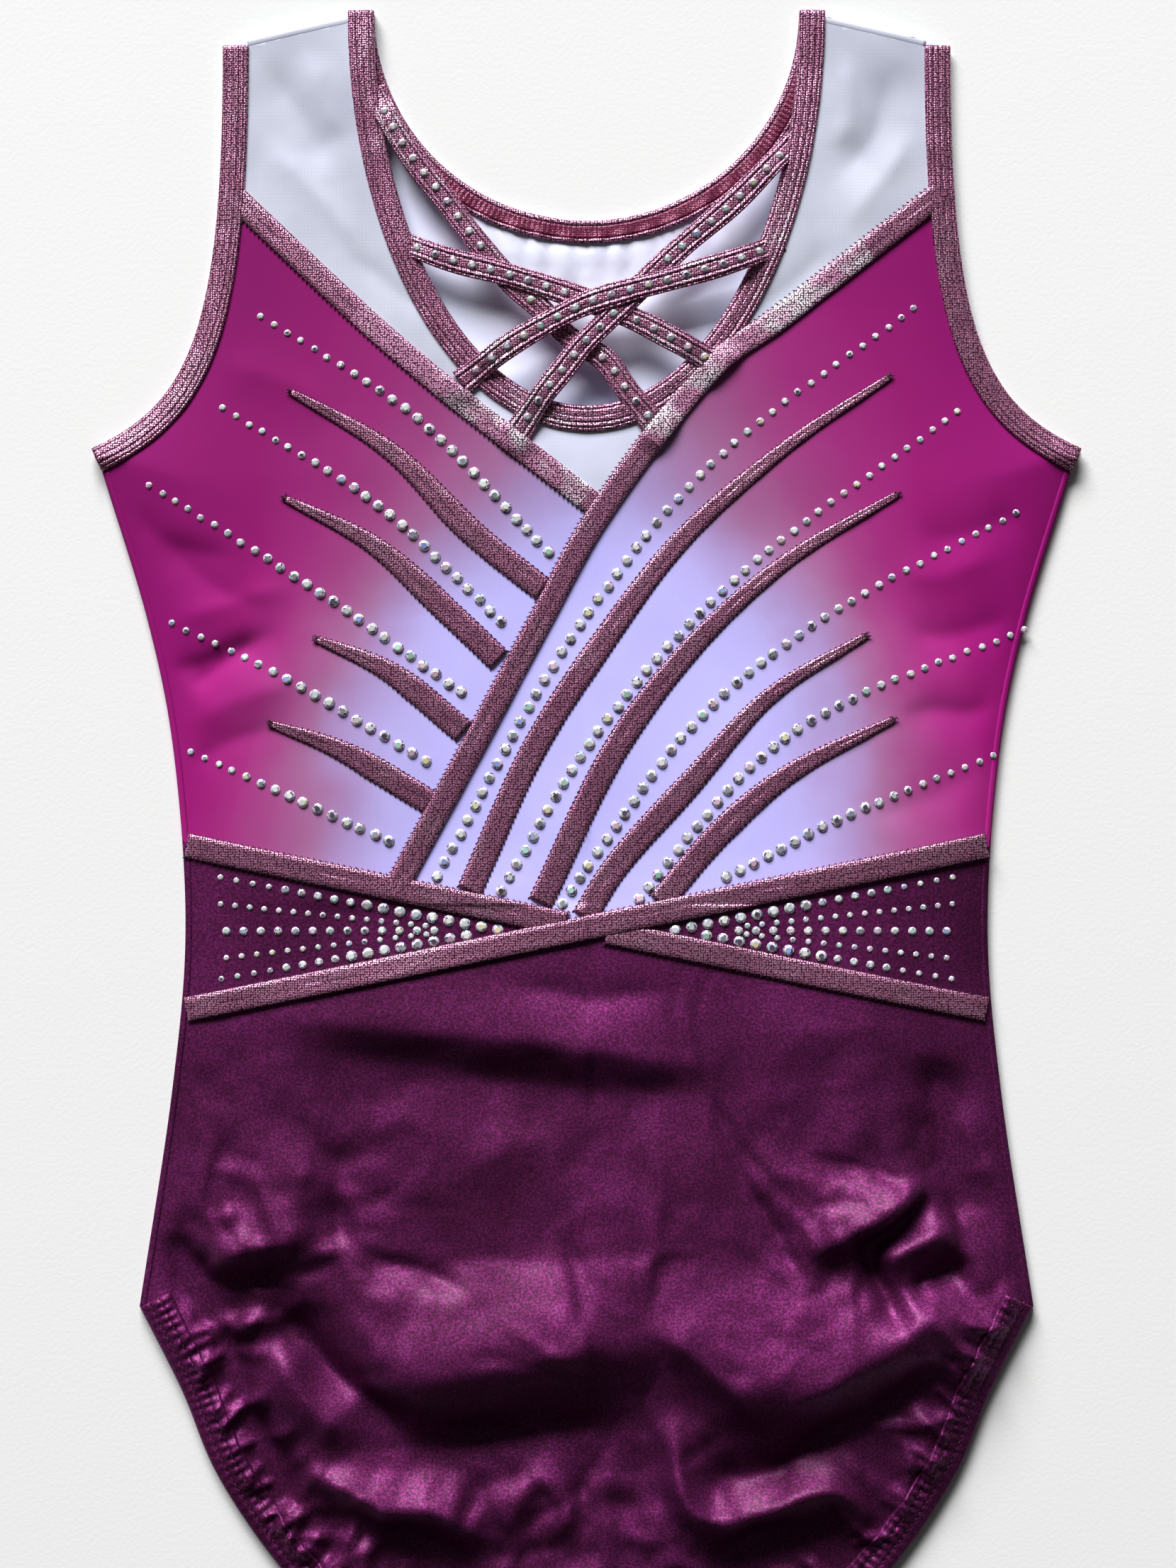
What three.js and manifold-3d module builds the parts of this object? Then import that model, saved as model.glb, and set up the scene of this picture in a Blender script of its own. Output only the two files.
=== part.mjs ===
// A sleeveless gymnastics leotard, lying flat with its front side up. Millimetres, +Z up.
// +Y runs to the shoulders and -X is the wearer's right. The origin is on the table, under the
// middle of the garment. "Drop" is a distance down from the neck point of the shoulder.
//
// The back lies on the table. The front lies over it, lifted a little by the air and the
// gathers between them. Every front piece is a slice of one arched sheet, cut to its own outline.
import * as THREE from 'three';
import { mergeVertices } from 'three/addons/utils/BufferGeometryUtils.js';
import Module from 'manifold-3d';

const wasm = await Module();
wasm.setup();

// Body sizes
const length = 614; // shoulder to crotch
const chestWidth = 340; // from armhole tip to armhole tip
const waistWidth = 272;
const hipWidth = 307; // between the top corners of the leg openings
const shoulderWidth = 250; // between the armhole edges of the two shoulders
const crotchWidth = 66;
const armpitDrop = 150;
const waistDrop = 314.5; // where the two waist bands cross
const hipDrop = 445;
const shoulderSlope = 12; // drop of the shoulder from its neck edge to its armhole edge

// Neck, yoke and back seams
const neckWidth = 146;
const frontNeckDrop = 136;
const backNeckDrop = 69;
const vDrop = 60; // where the V bands reach the armhole edges
const insertDepth = 36; // from the front neck edge down to the point of the V
const backYokeDrop = 178;

// Widths of tapes and trims
const bindingWidth = 9;
const bandWidth = 8.5;
const strapWidth = 8;
const rayWidth = 8.5;
const rayTipWidth = 2.5;
const hemWidth = 12;
const waistSpread = 28; // how far each waist band climbs or falls from the crossing to the side
const crystalWidth = 3.2;
const crystalRise = 1.4;
const liningLength = 92;

// Layers
const fabric = 0.8;
const tape = 0.8;
const gap = 0.3;
const bead = 2; // solid rim of a binding, outside the slot that takes the cloth
const seam = 3; // width of the joined edges at the shoulders and the crotch
const seamAllowance = 6;
const bandClear = 3; // of a band's width, beside the neck binding

// Lift of the middle of the front above its edges
const chestRise = 7.5;
const waistRise = 7;
const hipRise = 14;

const top = length / 2;
const chestHalf = chestWidth / 2;
const waistHalf = waistWidth / 2;
const hipHalf = hipWidth / 2;
const shoulderHalf = shoulderWidth / 2;
const neckHalf = neckWidth / 2;
const crotchHalf = crotchWidth / 2;
const reach = 60; // how far cutting tools run past the garment
const edgeLift = fabric + 2 * tape + 3 * gap; // the front's edges clear the two bindings under them
const apexDrop = frontNeckDrop + insertDepth;

const at = (across, drop) => new THREE.Vector2(across, top - drop);
const smooth = (points, steps) => new THREE.SplineCurve(points).getPoints(steps);
const mirrored = (line) => line.map((p) => new THREE.Vector2(-p.x, p.y)).reverse();
const mix = (a, b, share) => a + (b - a) * share;

// A place on the bodice: shares of half the chest and of the drop to the waist.
const bodice = ([across, down]) => at(across * chestHalf, down * waistDrop);

// ---- Lines of the garment, each with the cloth on its right-hand side ----

const rightNormal = (line, i) => {
  const ahead = line[Math.min(i + 1, line.length - 1)];
  const behind = line[Math.max(i - 1, 0)];
  const way = ahead.clone().sub(behind).normalize();
  return new THREE.Vector2(way.y, -way.x);
};

// The outline between two offsets of a line, where plus is its right-hand side.
const strip = (line, from, to) => {
  const offset = (distance) => line.map((p, i) => {
    const d = typeof distance === 'function' ? distance(i / (line.length - 1)) : distance;
    return p.clone().addScaledVector(rightNormal(line, i), d);
  });
  return [...offset(from), ...offset(to).reverse()];
};

const neckLine = (drop) => (
  new THREE.EllipseCurve(0, top, neckHalf, drop, Math.PI, 2 * Math.PI).getPoints(26)
);
const frontNeck = neckLine(frontNeckDrop);
const backNeck = neckLine(backNeckDrop);

const armLine = new THREE.CubicBezierCurve(
  at(shoulderHalf, shoulderSlope),
  at(shoulderHalf, mix(shoulderSlope, armpitDrop, 0.71)),
  at(mix(shoulderHalf, chestHalf, 0.25), mix(shoulderSlope, armpitDrop, 0.89)),
  at(chestHalf, armpitDrop),
).getPoints(14);

const armTip = armLine.at(-1);
const sideStart = armTip.clone()
  .addScaledVector(rightNormal(armLine, armLine.length - 1), bindingWidth);
const sideStartDrop = top - sideStart.y;
const sideLine = smooth([
  sideStart,
  at(mix(waistHalf, sideStart.x, 0.45), mix(sideStartDrop, waistDrop, 0.33)),
  at(mix(waistHalf, sideStart.x, 0.14), mix(sideStartDrop, waistDrop, 0.62)),
  at(waistHalf, waistDrop),
  at(mix(waistHalf, hipHalf, 0.29), mix(waistDrop, hipDrop, 0.43)),
  at(hipHalf, hipDrop),
], 16);

const legPoint = (across, down) => (
  at(mix(crotchHalf, hipHalf, across), mix(hipDrop, length, down))
);
const legLine = smooth([
  legPoint(1, 0), legPoint(0.88, 0.17), legPoint(0.78, 0.34), legPoint(0.61, 0.52),
  legPoint(0.4, 0.68), legPoint(0.13, 0.85), legPoint(0, 1),
], 12);

const outline = (neck) => [
  ...neck, ...armLine, ...sideLine, ...legLine,
  ...mirrored(legLine), ...mirrored(sideLine), ...mirrored(armLine),
];

const shoulderLine = [at(neckHalf - reach / 2, 0), at(neckHalf, 0), armLine[0]];
shoulderLine[0].y += shoulderSlope * (reach / 2) / (shoulderHalf - neckHalf);
shoulderLine.push(armLine[0].clone().multiplyScalar(2).sub(at(neckHalf, 0)));
const crotchLine = [at(reach, length), at(-reach, length)];

// Runs a line on, straight, past its first and last points.
const prolonged = (line, before, after) => {
  const start = line[0].clone().sub(line[1]).setLength(before).add(line[0]);
  const end = line.at(-1).clone().sub(line.at(-2)).setLength(after).add(line.at(-1));
  return [start, ...line, end];
};

// A band beside the neck keeps at least this much of its width clear of the neck binding.
const clearOfNeck = (across, drop) => {
  const grow = bindingWidth + gap + bandClear - bandWidth / 2;
  const share = Math.min(1, drop / (frontNeckDrop + grow));
  const least = (neckHalf + grow) * Math.sqrt(1 - share ** 2);
  return at(Math.sign(across) * Math.max(Math.abs(across), least), drop);
};

// The wrap seam comes from the left armhole, passes the point of the V and ends at the waist.
const wrapTop = at(shoulderHalf, vDrop);
const apex = at(0.03 * chestHalf, apexDrop);
const wrapLine = prolonged(smooth([
  wrapTop,
  clearOfNeck(mix(apex.x, wrapTop.x, 0.52), mix(apexDrop, vDrop, 0.6)),
  clearOfNeck(mix(apex.x, wrapTop.x, 0.3), mix(apexDrop, vDrop, 0.42)),
  apex,
  at(mix(apex.x, -0.376 * chestHalf, 0.31), mix(apexDrop, waistDrop, 0.27)),
  at(mix(apex.x, -0.376 * chestHalf, 0.62), mix(apexDrop, waistDrop, 0.55)),
  at(-0.376 * chestHalf, mix(apexDrop, waistDrop, 0.89)),
], 18), reach / 2, reach / 2);
const wrapTurn = wrapLine.reduce((best, p, i) => (
  p.distanceTo(apex) < wrapLine[best].distanceTo(apex) ? i : best), 0);
const vLine = prolonged([at(-shoulderHalf, vDrop),
  clearOfNeck(-shoulderHalf / 2, mix(vDrop, apexDrop, 0.52)), apex], reach / 2, bandWidth);

const waistEnd = waistHalf + reach / 2;
const waistRun = waistSpread * waistEnd / waistHalf;
const waistRising = [at(-waistEnd, waistDrop + waistRun), at(waistEnd, waistDrop - waistRun)];
const waistFalling = [at(-waistEnd, waistDrop - waistRun), at(waistEnd, waistDrop + waistRun)];
const crossing = at(0, waistDrop);

// ---- Solids ----

const solid = (geometry) => {
  geometry.deleteAttribute('normal');
  geometry.deleteAttribute('uv');
  const merged = mergeVertices(geometry, 1e-4);
  return new wasm.Manifold(new wasm.Mesh({
    numProp: 3,
    vertProperties: new Float32Array(merged.attributes.position.array),
    triVerts: new Uint32Array(merged.index.array),
  }));
};

const prism = (points, low = -reach, high = reach) => {
  const shape = new THREE.Shape(points);
  const geometry = new THREE.ExtrudeGeometry(shape, { depth: high - low, bevelEnabled: false });
  return solid(geometry.translate(0, 0, low));
};

// Stations across the front and the share of the lift at each, then stations down the body
// with the half width and the lift of the middle at each.
const columns = [[-1.2, 0], [-1, 0], [-0.9, 0.38], [-0.72, 0.8], [-0.45, 0.97], [0, 1],
  [0.45, 0.97], [0.72, 0.8], [0.9, 0.38], [1, 0], [1.2, 0]];
const legDrop = mix(hipDrop, length, 0.4);
const rows = [
  [-reach / 2, chestHalf, 0],
  [0, chestHalf, 0],
  [vDrop, chestHalf, 0.3 * chestRise],
  [mix(vDrop, armpitDrop, 0.55), chestHalf, 0.8 * chestRise],
  [armpitDrop, chestHalf, chestRise],
  [mix(armpitDrop, waistDrop, 0.4), mix(chestHalf, waistHalf, 0.6), chestRise],
  [waistDrop - waistSpread, waistHalf, waistRise],
  [waistDrop + waistSpread, waistHalf, mix(waistRise, hipRise, 0.25)],
  [mix(waistDrop, hipDrop, 0.6), mix(waistHalf, hipHalf, 0.6), mix(waistRise, hipRise, 0.8)],
  [hipDrop, hipHalf, hipRise],
  [legDrop, hipHalf, 0.95 * hipRise],
  [mix(hipDrop, length, 0.75), hipHalf, 0.5 * hipRise],
  [length, hipHalf, 0],
  [length + reach / 2, hipHalf, 0],
];

// One slice of the arched front: its under and upper faces are given from the height of the arch.
const slice = (under, over) => {
  const box = new THREE.BoxGeometry(1, 1, 1, columns.length - 1, rows.length - 1, 1);
  const { start, count } = box.groups[5];
  const index = box.index.array;
  for (let i = start; i < start + count; i += 6) { // the under face takes the upper one's diagonals
    const [a, b, d, , c] = index.slice(i, i + 5);
    index.set([a, b, c, a, c, d], i);
  }
  const place = box.attributes.position;
  for (let i = 0; i < place.count; i += 1) {
    const [share, lift] = columns[Math.round((place.getX(i) + 0.5) * (columns.length - 1))];
    const [drop, half, rise] = rows[Math.round((0.5 - place.getY(i)) * (rows.length - 1))];
    const arch = edgeLift + lift * rise;
    place.setXYZ(i, share * half, top - drop, place.getZ(i) > 0 ? over(arch) : under(arch));
  }
  return solid(box);
};

const trimLow = fabric + gap;
const trimHigh = trimLow + tape;
const cloth = slice((h) => h, (h) => h + fabric);
const trim = slice((h) => h + trimLow, (h) => h + trimHigh);
const stones = slice((h) => h + trimLow, (h) => h + trimLow + crystalRise);
const channel = slice((h) => h - gap - tape, (h) => h + trimHigh);
const slot = slice((h) => h - gap, (h) => h + trimLow);
const fullHeight = slice(() => 0, (h) => h + trimHigh);

const cut = (body, ...tools) => tools.reduce((rest, tool) => rest.subtract(tool), body);
const front = prism(outline(frontNeck));
const back = prism(outline(backNeck));

const shoulderZone = (grow) => {
  const zone = strip(shoulderLine, -reach / 2, seam + grow);
  return prism(zone).add(prism(mirrored(zone)));
};
const crotchZone = (grow) => prism(strip(crotchLine, -reach / 2, seam + grow));

// The end of a binding where its front and back halves meet: a block across its width at the
// line's first or last point.
const endZone = (line, last, width, grow) => {
  const tip = last ? line.at(-1) : line[0];
  const inward = rightNormal(line, last ? line.length - 1 : 0);
  const along = (last ? line.at(-2) : line[1]).clone().sub(tip).normalize();
  const place = (across, back) => (
    tip.clone().addScaledVector(inward, across).addScaledVector(along, back)
  );
  return prism([place(-gap, -gap), place(width + grow, -gap), place(width + grow, seam + grow),
    place(-gap, seam + grow)]);
};

const handed = (line, side) => (side === 'left' ? line : mirrored(line));
const sides = ['right', 'left'];

// A tape folded round the edges of the front and the back, closed where the two halves meet.
const folded = (line, width, frontToo = true, backToo = true) => {
  const footprint = prism(strip(line, 0, width));
  const open = prism(strip(line, bead, width + 1));
  const frontHalf = channel.intersect(footprint).subtract(slot.intersect(open));
  const lip = fabric + gap;
  const backHalf = prism(strip(line, 0, width), 0, lip + tape)
    .subtract(prism(strip(line, bead, width + 1), -1, lip));
  if (!backToo) return frontHalf;
  return frontToo ? frontHalf.add(backHalf) : backHalf;
};

const joinedIn = (line, width, zone) => (
  fullHeight.intersect(prism(strip(line, 0, width))).intersect(zone)
);

const armEnd = (side, grow) => {
  const zone = endZone(armLine, true, bindingWidth, grow);
  return side === 'left' ? zone : zone.mirror([1, 0, 0]);
};
const legStart = (side, grow) => {
  const zone = endZone(legLine, false, hemWidth, grow);
  return side === 'left' ? zone : zone.mirror([1, 0, 0]);
};

const neckTool = (neck, depth) => prism(strip(neck, -1, depth));
const armTool = (depth) => {
  const tool = strip(armLine, -1, depth);
  return prism(tool).add(prism(mirrored(tool)));
};
const legTool = (depth) => {
  const tool = strip(legLine, -1, depth);
  return prism(tool).add(prism(mirrored(tool)));
};

const endTools = [...sides.map((s) => armEnd(s, gap)), ...sides.map((s) => legStart(s, gap)),
  shoulderZone(gap), crotchZone(gap)];
const rims = bead + gap;
const kerf = (line) => prism(strip(line, -gap / 2, gap / 2));
const insertHalf = 0.24 * chestHalf;
const insertCut = (s) => [at(s * insertHalf, 0), at(s * insertHalf, waistDrop)];

// ---- The parts ----

const leotard = new THREE.Group();
const finishes = {
  magenta: { color: 0x8a1a68, roughness: 0.55, metalness: 0 },
  mesh: { color: 0xdcdcea, roughness: 0.6, metalness: 0 },
  plum: { color: 0x4a1640, roughness: 0.35, metalness: 0 },
  foil: { color: 0x945a79, roughness: 0.35, metalness: 0.3 },
  crystal: { color: 0xe8e6f2, roughness: 0.05, metalness: 0.1 },
  lining: { color: 0xe9e4e6, roughness: 0.8, metalness: 0 },
};

const add = (name, body, finish) => {
  const { vertProperties, triVerts } = body.getMesh();
  const geometry = new THREE.BufferGeometry();
  geometry.setAttribute('position', new THREE.BufferAttribute(vertProperties, 3));
  geometry.setIndex(new THREE.BufferAttribute(triVerts, 1));
  geometry.computeVertexNormals();
  const mesh = new THREE.Mesh(geometry, new THREE.MeshStandardMaterial(finishes[finish]));
  mesh.name = name;
  leotard.add(mesh);
};

// Front cloth: seven panels that meet at the seams, with a kerf between neighbours.
const seamLines = [wrapLine, vLine, waistRising, waistFalling];
const frontCloth = cut(cloth.intersect(front), neckTool(frontNeck, rims), armTool(rims),
  legTool(rims), ...endTools, ...seamLines.map(kerf));
const high = at(0, -reach).y;
const low = at(0, length + reach).y;
const wide = chestHalf + reach;
const corner = (x, y) => new THREE.Vector2(x, y);
const vPart = vLine.slice(0, -1);
const wrapAbove = wrapLine.slice(0, wrapTurn + 1);
const wrapBelow = wrapLine.slice(wrapTurn);
const aboveWaist = prism([waistFalling[0], crossing, waistRising[1],
  corner(wide, waistRising[1].y), corner(wide, high), corner(-wide, high),
  corner(-wide, waistFalling[0].y)]);
const aboveV = prism([...vPart, ...[...wrapAbove].reverse(), corner(wide, high),
  corner(-wide, high)]);
const insertZone = prism([corner(-insertHalf, high), corner(insertHalf, high),
  corner(insertHalf, low), corner(-insertHalf, low)]);
const insertKerfs = [-1, 1].map((s) => kerf(insertCut(s)));
const yokes = cut(frontCloth.intersect(aboveV), ...insertKerfs);
const rightHalf = prism([corner(-wide, high), corner(0, high), corner(0, low), corner(-wide, low)]);
const leftOfWrap = prism([corner(-wide, high), ...vPart, ...wrapBelow, corner(-wide, low)]);

add('front_yoke_right', yokes.subtract(insertZone).intersect(rightHalf), 'mesh');
add('front_yoke_left', cut(yokes, insertZone, rightHalf), 'mesh');
add('front_v_insert', yokes.intersect(insertZone), 'mesh');
const bodiceCloth = frontCloth.intersect(aboveWaist).subtract(aboveV);
add('front_bodice_right', bodiceCloth.intersect(leftOfWrap), 'magenta');
add('front_bodice_left', bodiceCloth.subtract(leftOfWrap), 'magenta');
const insetZone = {
  right: prism([waistRising[0], crossing, waistFalling[0]]),
  left: prism([waistRising[1], crossing, waistFalling[1]]),
};
sides.forEach((side) => {
  add(`waist_inset_${side}`, frontCloth.intersect(insetZone[side]), 'plum');
});
add('front_brief', cut(frontCloth, aboveWaist, insetZone.right, insetZone.left), 'plum');

// Back cloth: a white yoke, a bodice and a brief, flat on the table.
const backBand = (from, to) => {
  const band = prism([at(-wide, from), at(wide, from), at(wide, to), at(-wide, to)], 0, fabric);
  return cut(band.intersect(back), neckTool(backNeck, rims), armTool(rims), legTool(rims),
    ...endTools);
};
const briefDrop = waistDrop - waistSpread;
add('back_yoke', backBand(-reach, backYokeDrop - gap / 2), 'mesh');
add('back_bodice', backBand(backYokeDrop + gap / 2, briefDrop - gap / 2), 'magenta');
add('back_brief', backBand(briefDrop + gap / 2, length + reach), 'plum');

// Lining of the crotch, inside, on the back of the brief.
const lining = smooth([at(-chestHalf / 4, length - liningLength), at(0, length - liningLength - 4),
  at(chestHalf / 4, length - liningLength)], 6);
add('gusset_lining', cut(
  prism([...lining, corner(reach, -top), corner(-reach, -top)], trimLow, trimHigh).intersect(back),
  legTool(hemWidth + gap), crotchZone(gap)), 'lining');

// Bindings: neck in two halves, armholes and leg hems as loops.
const neckWall = joinedIn(frontNeck, bindingWidth, shoulderZone(0));
add('neck_binding_front', folded(frontNeck, bindingWidth, true, false).add(neckWall), 'foil');
add('neck_binding_back', cut(folded(backNeck, bindingWidth, false, true), shoulderZone(gap)),
  'foil');
sides.forEach((side) => {
  const arm = handed(armLine, side);
  const leg = handed(legLine, side);
  add(`armhole_binding_${side}`, folded(arm, bindingWidth)
    .add(joinedIn(arm, bindingWidth, shoulderZone(0)))
    .add(joinedIn(arm, bindingWidth, armEnd(side, 0))), 'foil');
  add(`leg_hem_${side}`, folded(leg, hemWidth)
    .add(joinedIn(leg, hemWidth, crotchZone(0)))
    .add(joinedIn(leg, hemWidth, legStart(side, 0))), 'plum');
});

// Joined edges: sides, shoulders and crotch.
const joinedHeight = slice(() => 0, (h) => h + fabric);
sides.forEach((side) => {
  const edge = prism(strip(handed(sideLine, side), gap, seamAllowance), trimLow, edgeLift - gap);
  add(`side_seam_${side}`, cut(edge.intersect(back), armTool(bindingWidth + gap),
    legTool(hemWidth + gap), ...endTools), 'magenta');
  const half = side === 'right' ? (body) => body.intersect(rightHalf)
    : (body) => body.subtract(rightHalf);
  add(`shoulder_seam_${side}`, half(cut(joinedHeight.intersect(front).intersect(shoulderZone(0)),
    neckTool(frontNeck, bindingWidth + gap), armTool(bindingWidth + gap))), 'mesh');
});
add('crotch_seam', joinedHeight.intersect(front).intersect(crotchZone(0))
  .subtract(legTool(hemWidth + gap)), 'plum');

// Flat bands over the seams. Each is cut back where another one lies over its end.
const edges = [neckTool(frontNeck, bindingWidth + gap), armTool(bindingWidth + gap), ...endTools];
const bandTool = (line, grow = gap) => prism(strip(line, -bandWidth / 2 - grow,
  bandWidth / 2 + grow));
const band = (line, ...over) => cut(trim.intersect(front).intersect(bandTool(line, 0)), ...edges,
  ...over);
const waistTools = [bandTool(waistRising), bandTool(waistFalling)];
const belowWaist = cut(prism([corner(-wide, high), corner(wide, high), corner(wide, low),
  corner(-wide, low)]), aboveWaist);
const lowerWaist = band(waistFalling, waistTools[0]);
add('waist_band_over', band(waistRising), 'foil');
add('waist_band_under_right', lowerWaist.intersect(rightHalf), 'foil');
add('waist_band_under_left', lowerWaist.subtract(rightHalf), 'foil');
const wrapFarSide = prism([...wrapLine, corner(-wide, low), corner(wide, low), corner(wide, high)]);
add('wrap_band_left', band(wrapLine, ...waistTools, belowWaist), 'foil');
add('v_band_right', band(vLine, bandTool(wrapLine), wrapFarSide), 'foil');

// Tapering ray strips, from a fine tip near the side to the wrap band or the waist.
const rays = {
  right: [
    [[-0.592, 0.418], [-0.394, 0.482], [-0.235, 0.568], [-0.05, 0.65]],
    [[-0.604, 0.534], [-0.426, 0.585], [-0.267, 0.663], [-0.12, 0.737]],
    [[-0.54, 0.687], [-0.394, 0.723], [-0.18, 0.815]],
    [[-0.632, 0.779], [-0.489, 0.809], [-0.25, 0.892]],
  ],
  left: [
    [[0.606, 0.403], [0.4, 0.478], [0.194, 0.577], [0.035, 0.688], [-0.108, 0.809],
      [-0.25, 0.98]],
    [[0.622, 0.53], [0.4, 0.603], [0.209, 0.697], [0.051, 0.813], [-0.11, 0.985]],
    [[0.559, 0.684], [0.368, 0.748], [0.209, 0.843], [0.066, 0.928], [-0.02, 1]],
    [[0.615, 0.774], [0.416, 0.83], [0.273, 0.894], [0.14, 0.98]],
  ],
};
const wrapSide = { right: (body) => body.intersect(leftOfWrap),
  left: (body) => body.subtract(leftOfWrap) };
sides.forEach((side) => rays[side].forEach((points, i) => {
  const line = smooth(points.map(bodice), 10);
  const half = (t) => mix(rayTipWidth, rayWidth, Math.min(1, t * 2.2)) / 2;
  const body = trim.intersect(front).intersect(prism(strip(line, (t) => -half(t), half)));
  add(`ray_strip_${side}_${i + 1}`, wrapSide[side](cut(body, bandTool(wrapLine), ...waistTools,
    belowWaist)), 'foil');
}));

// Straps that cross in the neck opening, each lying over the ones before it.
const ringAt = (side, drop) => {
  const across = (neckHalf + bindingWidth / 2)
    * Math.sqrt(1 - (drop / (frontNeckDrop + bindingWidth / 2)) ** 2);
  return at(side === 'left' ? across : -across, drop);
};
const strapRoute = (from, to, bow) => {
  const start = ringAt(from[0], from[1] * frontNeckDrop);
  const end = ringAt(to[0], to[1] * frontNeckDrop);
  const middle = start.clone().add(end).multiplyScalar(0.5);
  middle.y += bow;
  return new THREE.SplineCurve([start, middle, end]);
};
const straps = [
  { name: 'shoulder_right', route: strapRoute(['right', 0.26], ['left', 0.985], -3) },
  { name: 'neck_right', route: strapRoute(['right', 0.59], ['left', 0.885], 4) },
  { name: 'shoulder_left', route: strapRoute(['left', 0.33], ['right', 0.99], 3) },
  { name: 'neck_left', route: strapRoute(['left', 0.6], ['right', 0.9], 4) },
];
straps.forEach(({ name, route }, level) => {
  const base = trimHigh + gap + level * (tape + gap);
  const sheet = slice((h) => h + base, (h) => h + base + tape);
  add(`cross_strap_${name}`, sheet.intersect(prism(strip(route.getPoints(8), -strapWidth / 2,
    strapWidth / 2))), 'foil');
  // Its crystals run from near its start to where the first strap over it gets in their way.
  const over = straps.slice(level + 1).flatMap((other) => other.route.getPoints(60));
  const clear = (strapWidth + crystalWidth) / 2 + gap;
  const places = route.getPoints(30).slice(1, -1);
  const stop = places.findIndex((p) => over.some((q) => q.distanceTo(p) < clear));
  const row = stop < 0 ? places : places.slice(0, stop);
  const setting = slice((h) => h + base + tape + gap,
    (h) => h + base + tape + gap + crystalRise);
  add(`crystal_row_strap_${name}`, setting.intersect(prism(strip(row, -crystalWidth / 2,
    crystalWidth / 2))), 'crystal');
});

// Rows of crystals between the rays, and a field of them on each waist inset.
const crystalRows = {
  right: [
    [[-0.656, 0.335], [-0.346, 0.444], [-0.076, 0.592]],
    [[-0.732, 0.435], [-0.426, 0.538], [-0.172, 0.667]],
    [[-0.86, 0.53], [-0.569, 0.624], [-0.251, 0.744]],
    [[-0.835, 0.669], [-0.6, 0.731], [-0.322, 0.819]],
    [[-0.79, 0.811], [-0.585, 0.86], [-0.397, 0.906]],
  ],
  left: [
    [[0.659, 0.325], [0.249, 0.497], [-0.045, 0.697], [-0.302, 0.944]],
    [[0.746, 0.439], [0.321, 0.611], [0.035, 0.779], [-0.172, 0.96]],
    [[0.866, 0.548], [0.48, 0.663], [0.21, 0.783], [-0.049, 0.965]],
    [[0.87, 0.681], [0.527, 0.753], [0.321, 0.83], [0.106, 0.96]],
    [[0.8, 0.819], [0.511, 0.882], [0.281, 0.946]],
  ],
};
sides.forEach((side) => crystalRows[side].forEach((points, i) => {
  const line = smooth(points.map(bodice), 10);
  const body = stones.intersect(front).intersect(prism(strip(line, -crystalWidth / 2,
    crystalWidth / 2)));
  add(`crystal_row_${side}_${i + 1}`, cut(body, bandTool(wrapLine), ...waistTools, ...edges),
    'crystal');
}));
const fieldEnd = waistHalf * 0.93;
const fieldHalf = waistSpread * 0.7;
const field = [at(-waistHalf * 0.2, waistDrop), at(-fieldEnd, waistDrop - fieldHalf),
  at(-fieldEnd, waistDrop + fieldHalf)];
add('crystal_field_right', cut(stones.intersect(prism(field)), ...waistTools), 'crystal');
add('crystal_field_left', cut(stones.intersect(prism(mirrored(field))), ...waistTools), 'crystal');

export default leotard;
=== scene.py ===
# %% [markdown]
# # A competition leotard, laid flat on a table
# The garment lies on its back with its front up. Its seams, sizes and places come from a packed
# frame, and this lesson dresses that frame in cloth, foil tape, thread and cut glass.
# The frame is loaded first, because every later piece is measured from it.

# %% Load the frame
import math
import bmesh
import bpy
import numpy as np
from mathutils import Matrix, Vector
from mathutils.geometry import delaunay_2d_cdt
from mathutils.kdtree import KDTree


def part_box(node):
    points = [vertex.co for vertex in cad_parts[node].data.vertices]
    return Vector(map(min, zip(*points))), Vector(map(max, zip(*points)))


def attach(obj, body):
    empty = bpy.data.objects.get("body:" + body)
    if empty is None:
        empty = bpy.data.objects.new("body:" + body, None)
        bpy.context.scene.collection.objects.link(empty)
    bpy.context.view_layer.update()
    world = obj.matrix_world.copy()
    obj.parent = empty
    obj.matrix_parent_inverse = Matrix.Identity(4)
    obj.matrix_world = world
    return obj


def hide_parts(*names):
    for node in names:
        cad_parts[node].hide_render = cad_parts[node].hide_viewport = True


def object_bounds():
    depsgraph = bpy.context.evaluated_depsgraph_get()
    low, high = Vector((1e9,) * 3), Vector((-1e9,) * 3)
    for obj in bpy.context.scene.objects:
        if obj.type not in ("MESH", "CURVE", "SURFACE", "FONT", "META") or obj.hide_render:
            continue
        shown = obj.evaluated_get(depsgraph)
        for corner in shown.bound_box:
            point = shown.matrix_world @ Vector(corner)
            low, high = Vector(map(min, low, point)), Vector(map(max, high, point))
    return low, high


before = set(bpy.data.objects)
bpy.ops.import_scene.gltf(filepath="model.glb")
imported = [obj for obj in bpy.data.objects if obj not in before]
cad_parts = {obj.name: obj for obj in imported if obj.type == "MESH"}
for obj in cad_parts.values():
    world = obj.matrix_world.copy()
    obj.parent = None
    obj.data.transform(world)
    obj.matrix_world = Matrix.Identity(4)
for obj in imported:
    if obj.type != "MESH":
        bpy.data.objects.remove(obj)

MM = 0.001
cad_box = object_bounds()

# %% [markdown]
# ## The camera
# The garment is seen from straight above. The view is 405 mm wide and 540 mm tall, so the lower
# part of the brief runs out of it. A long distance keeps the cloth's height from shifting things.

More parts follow.
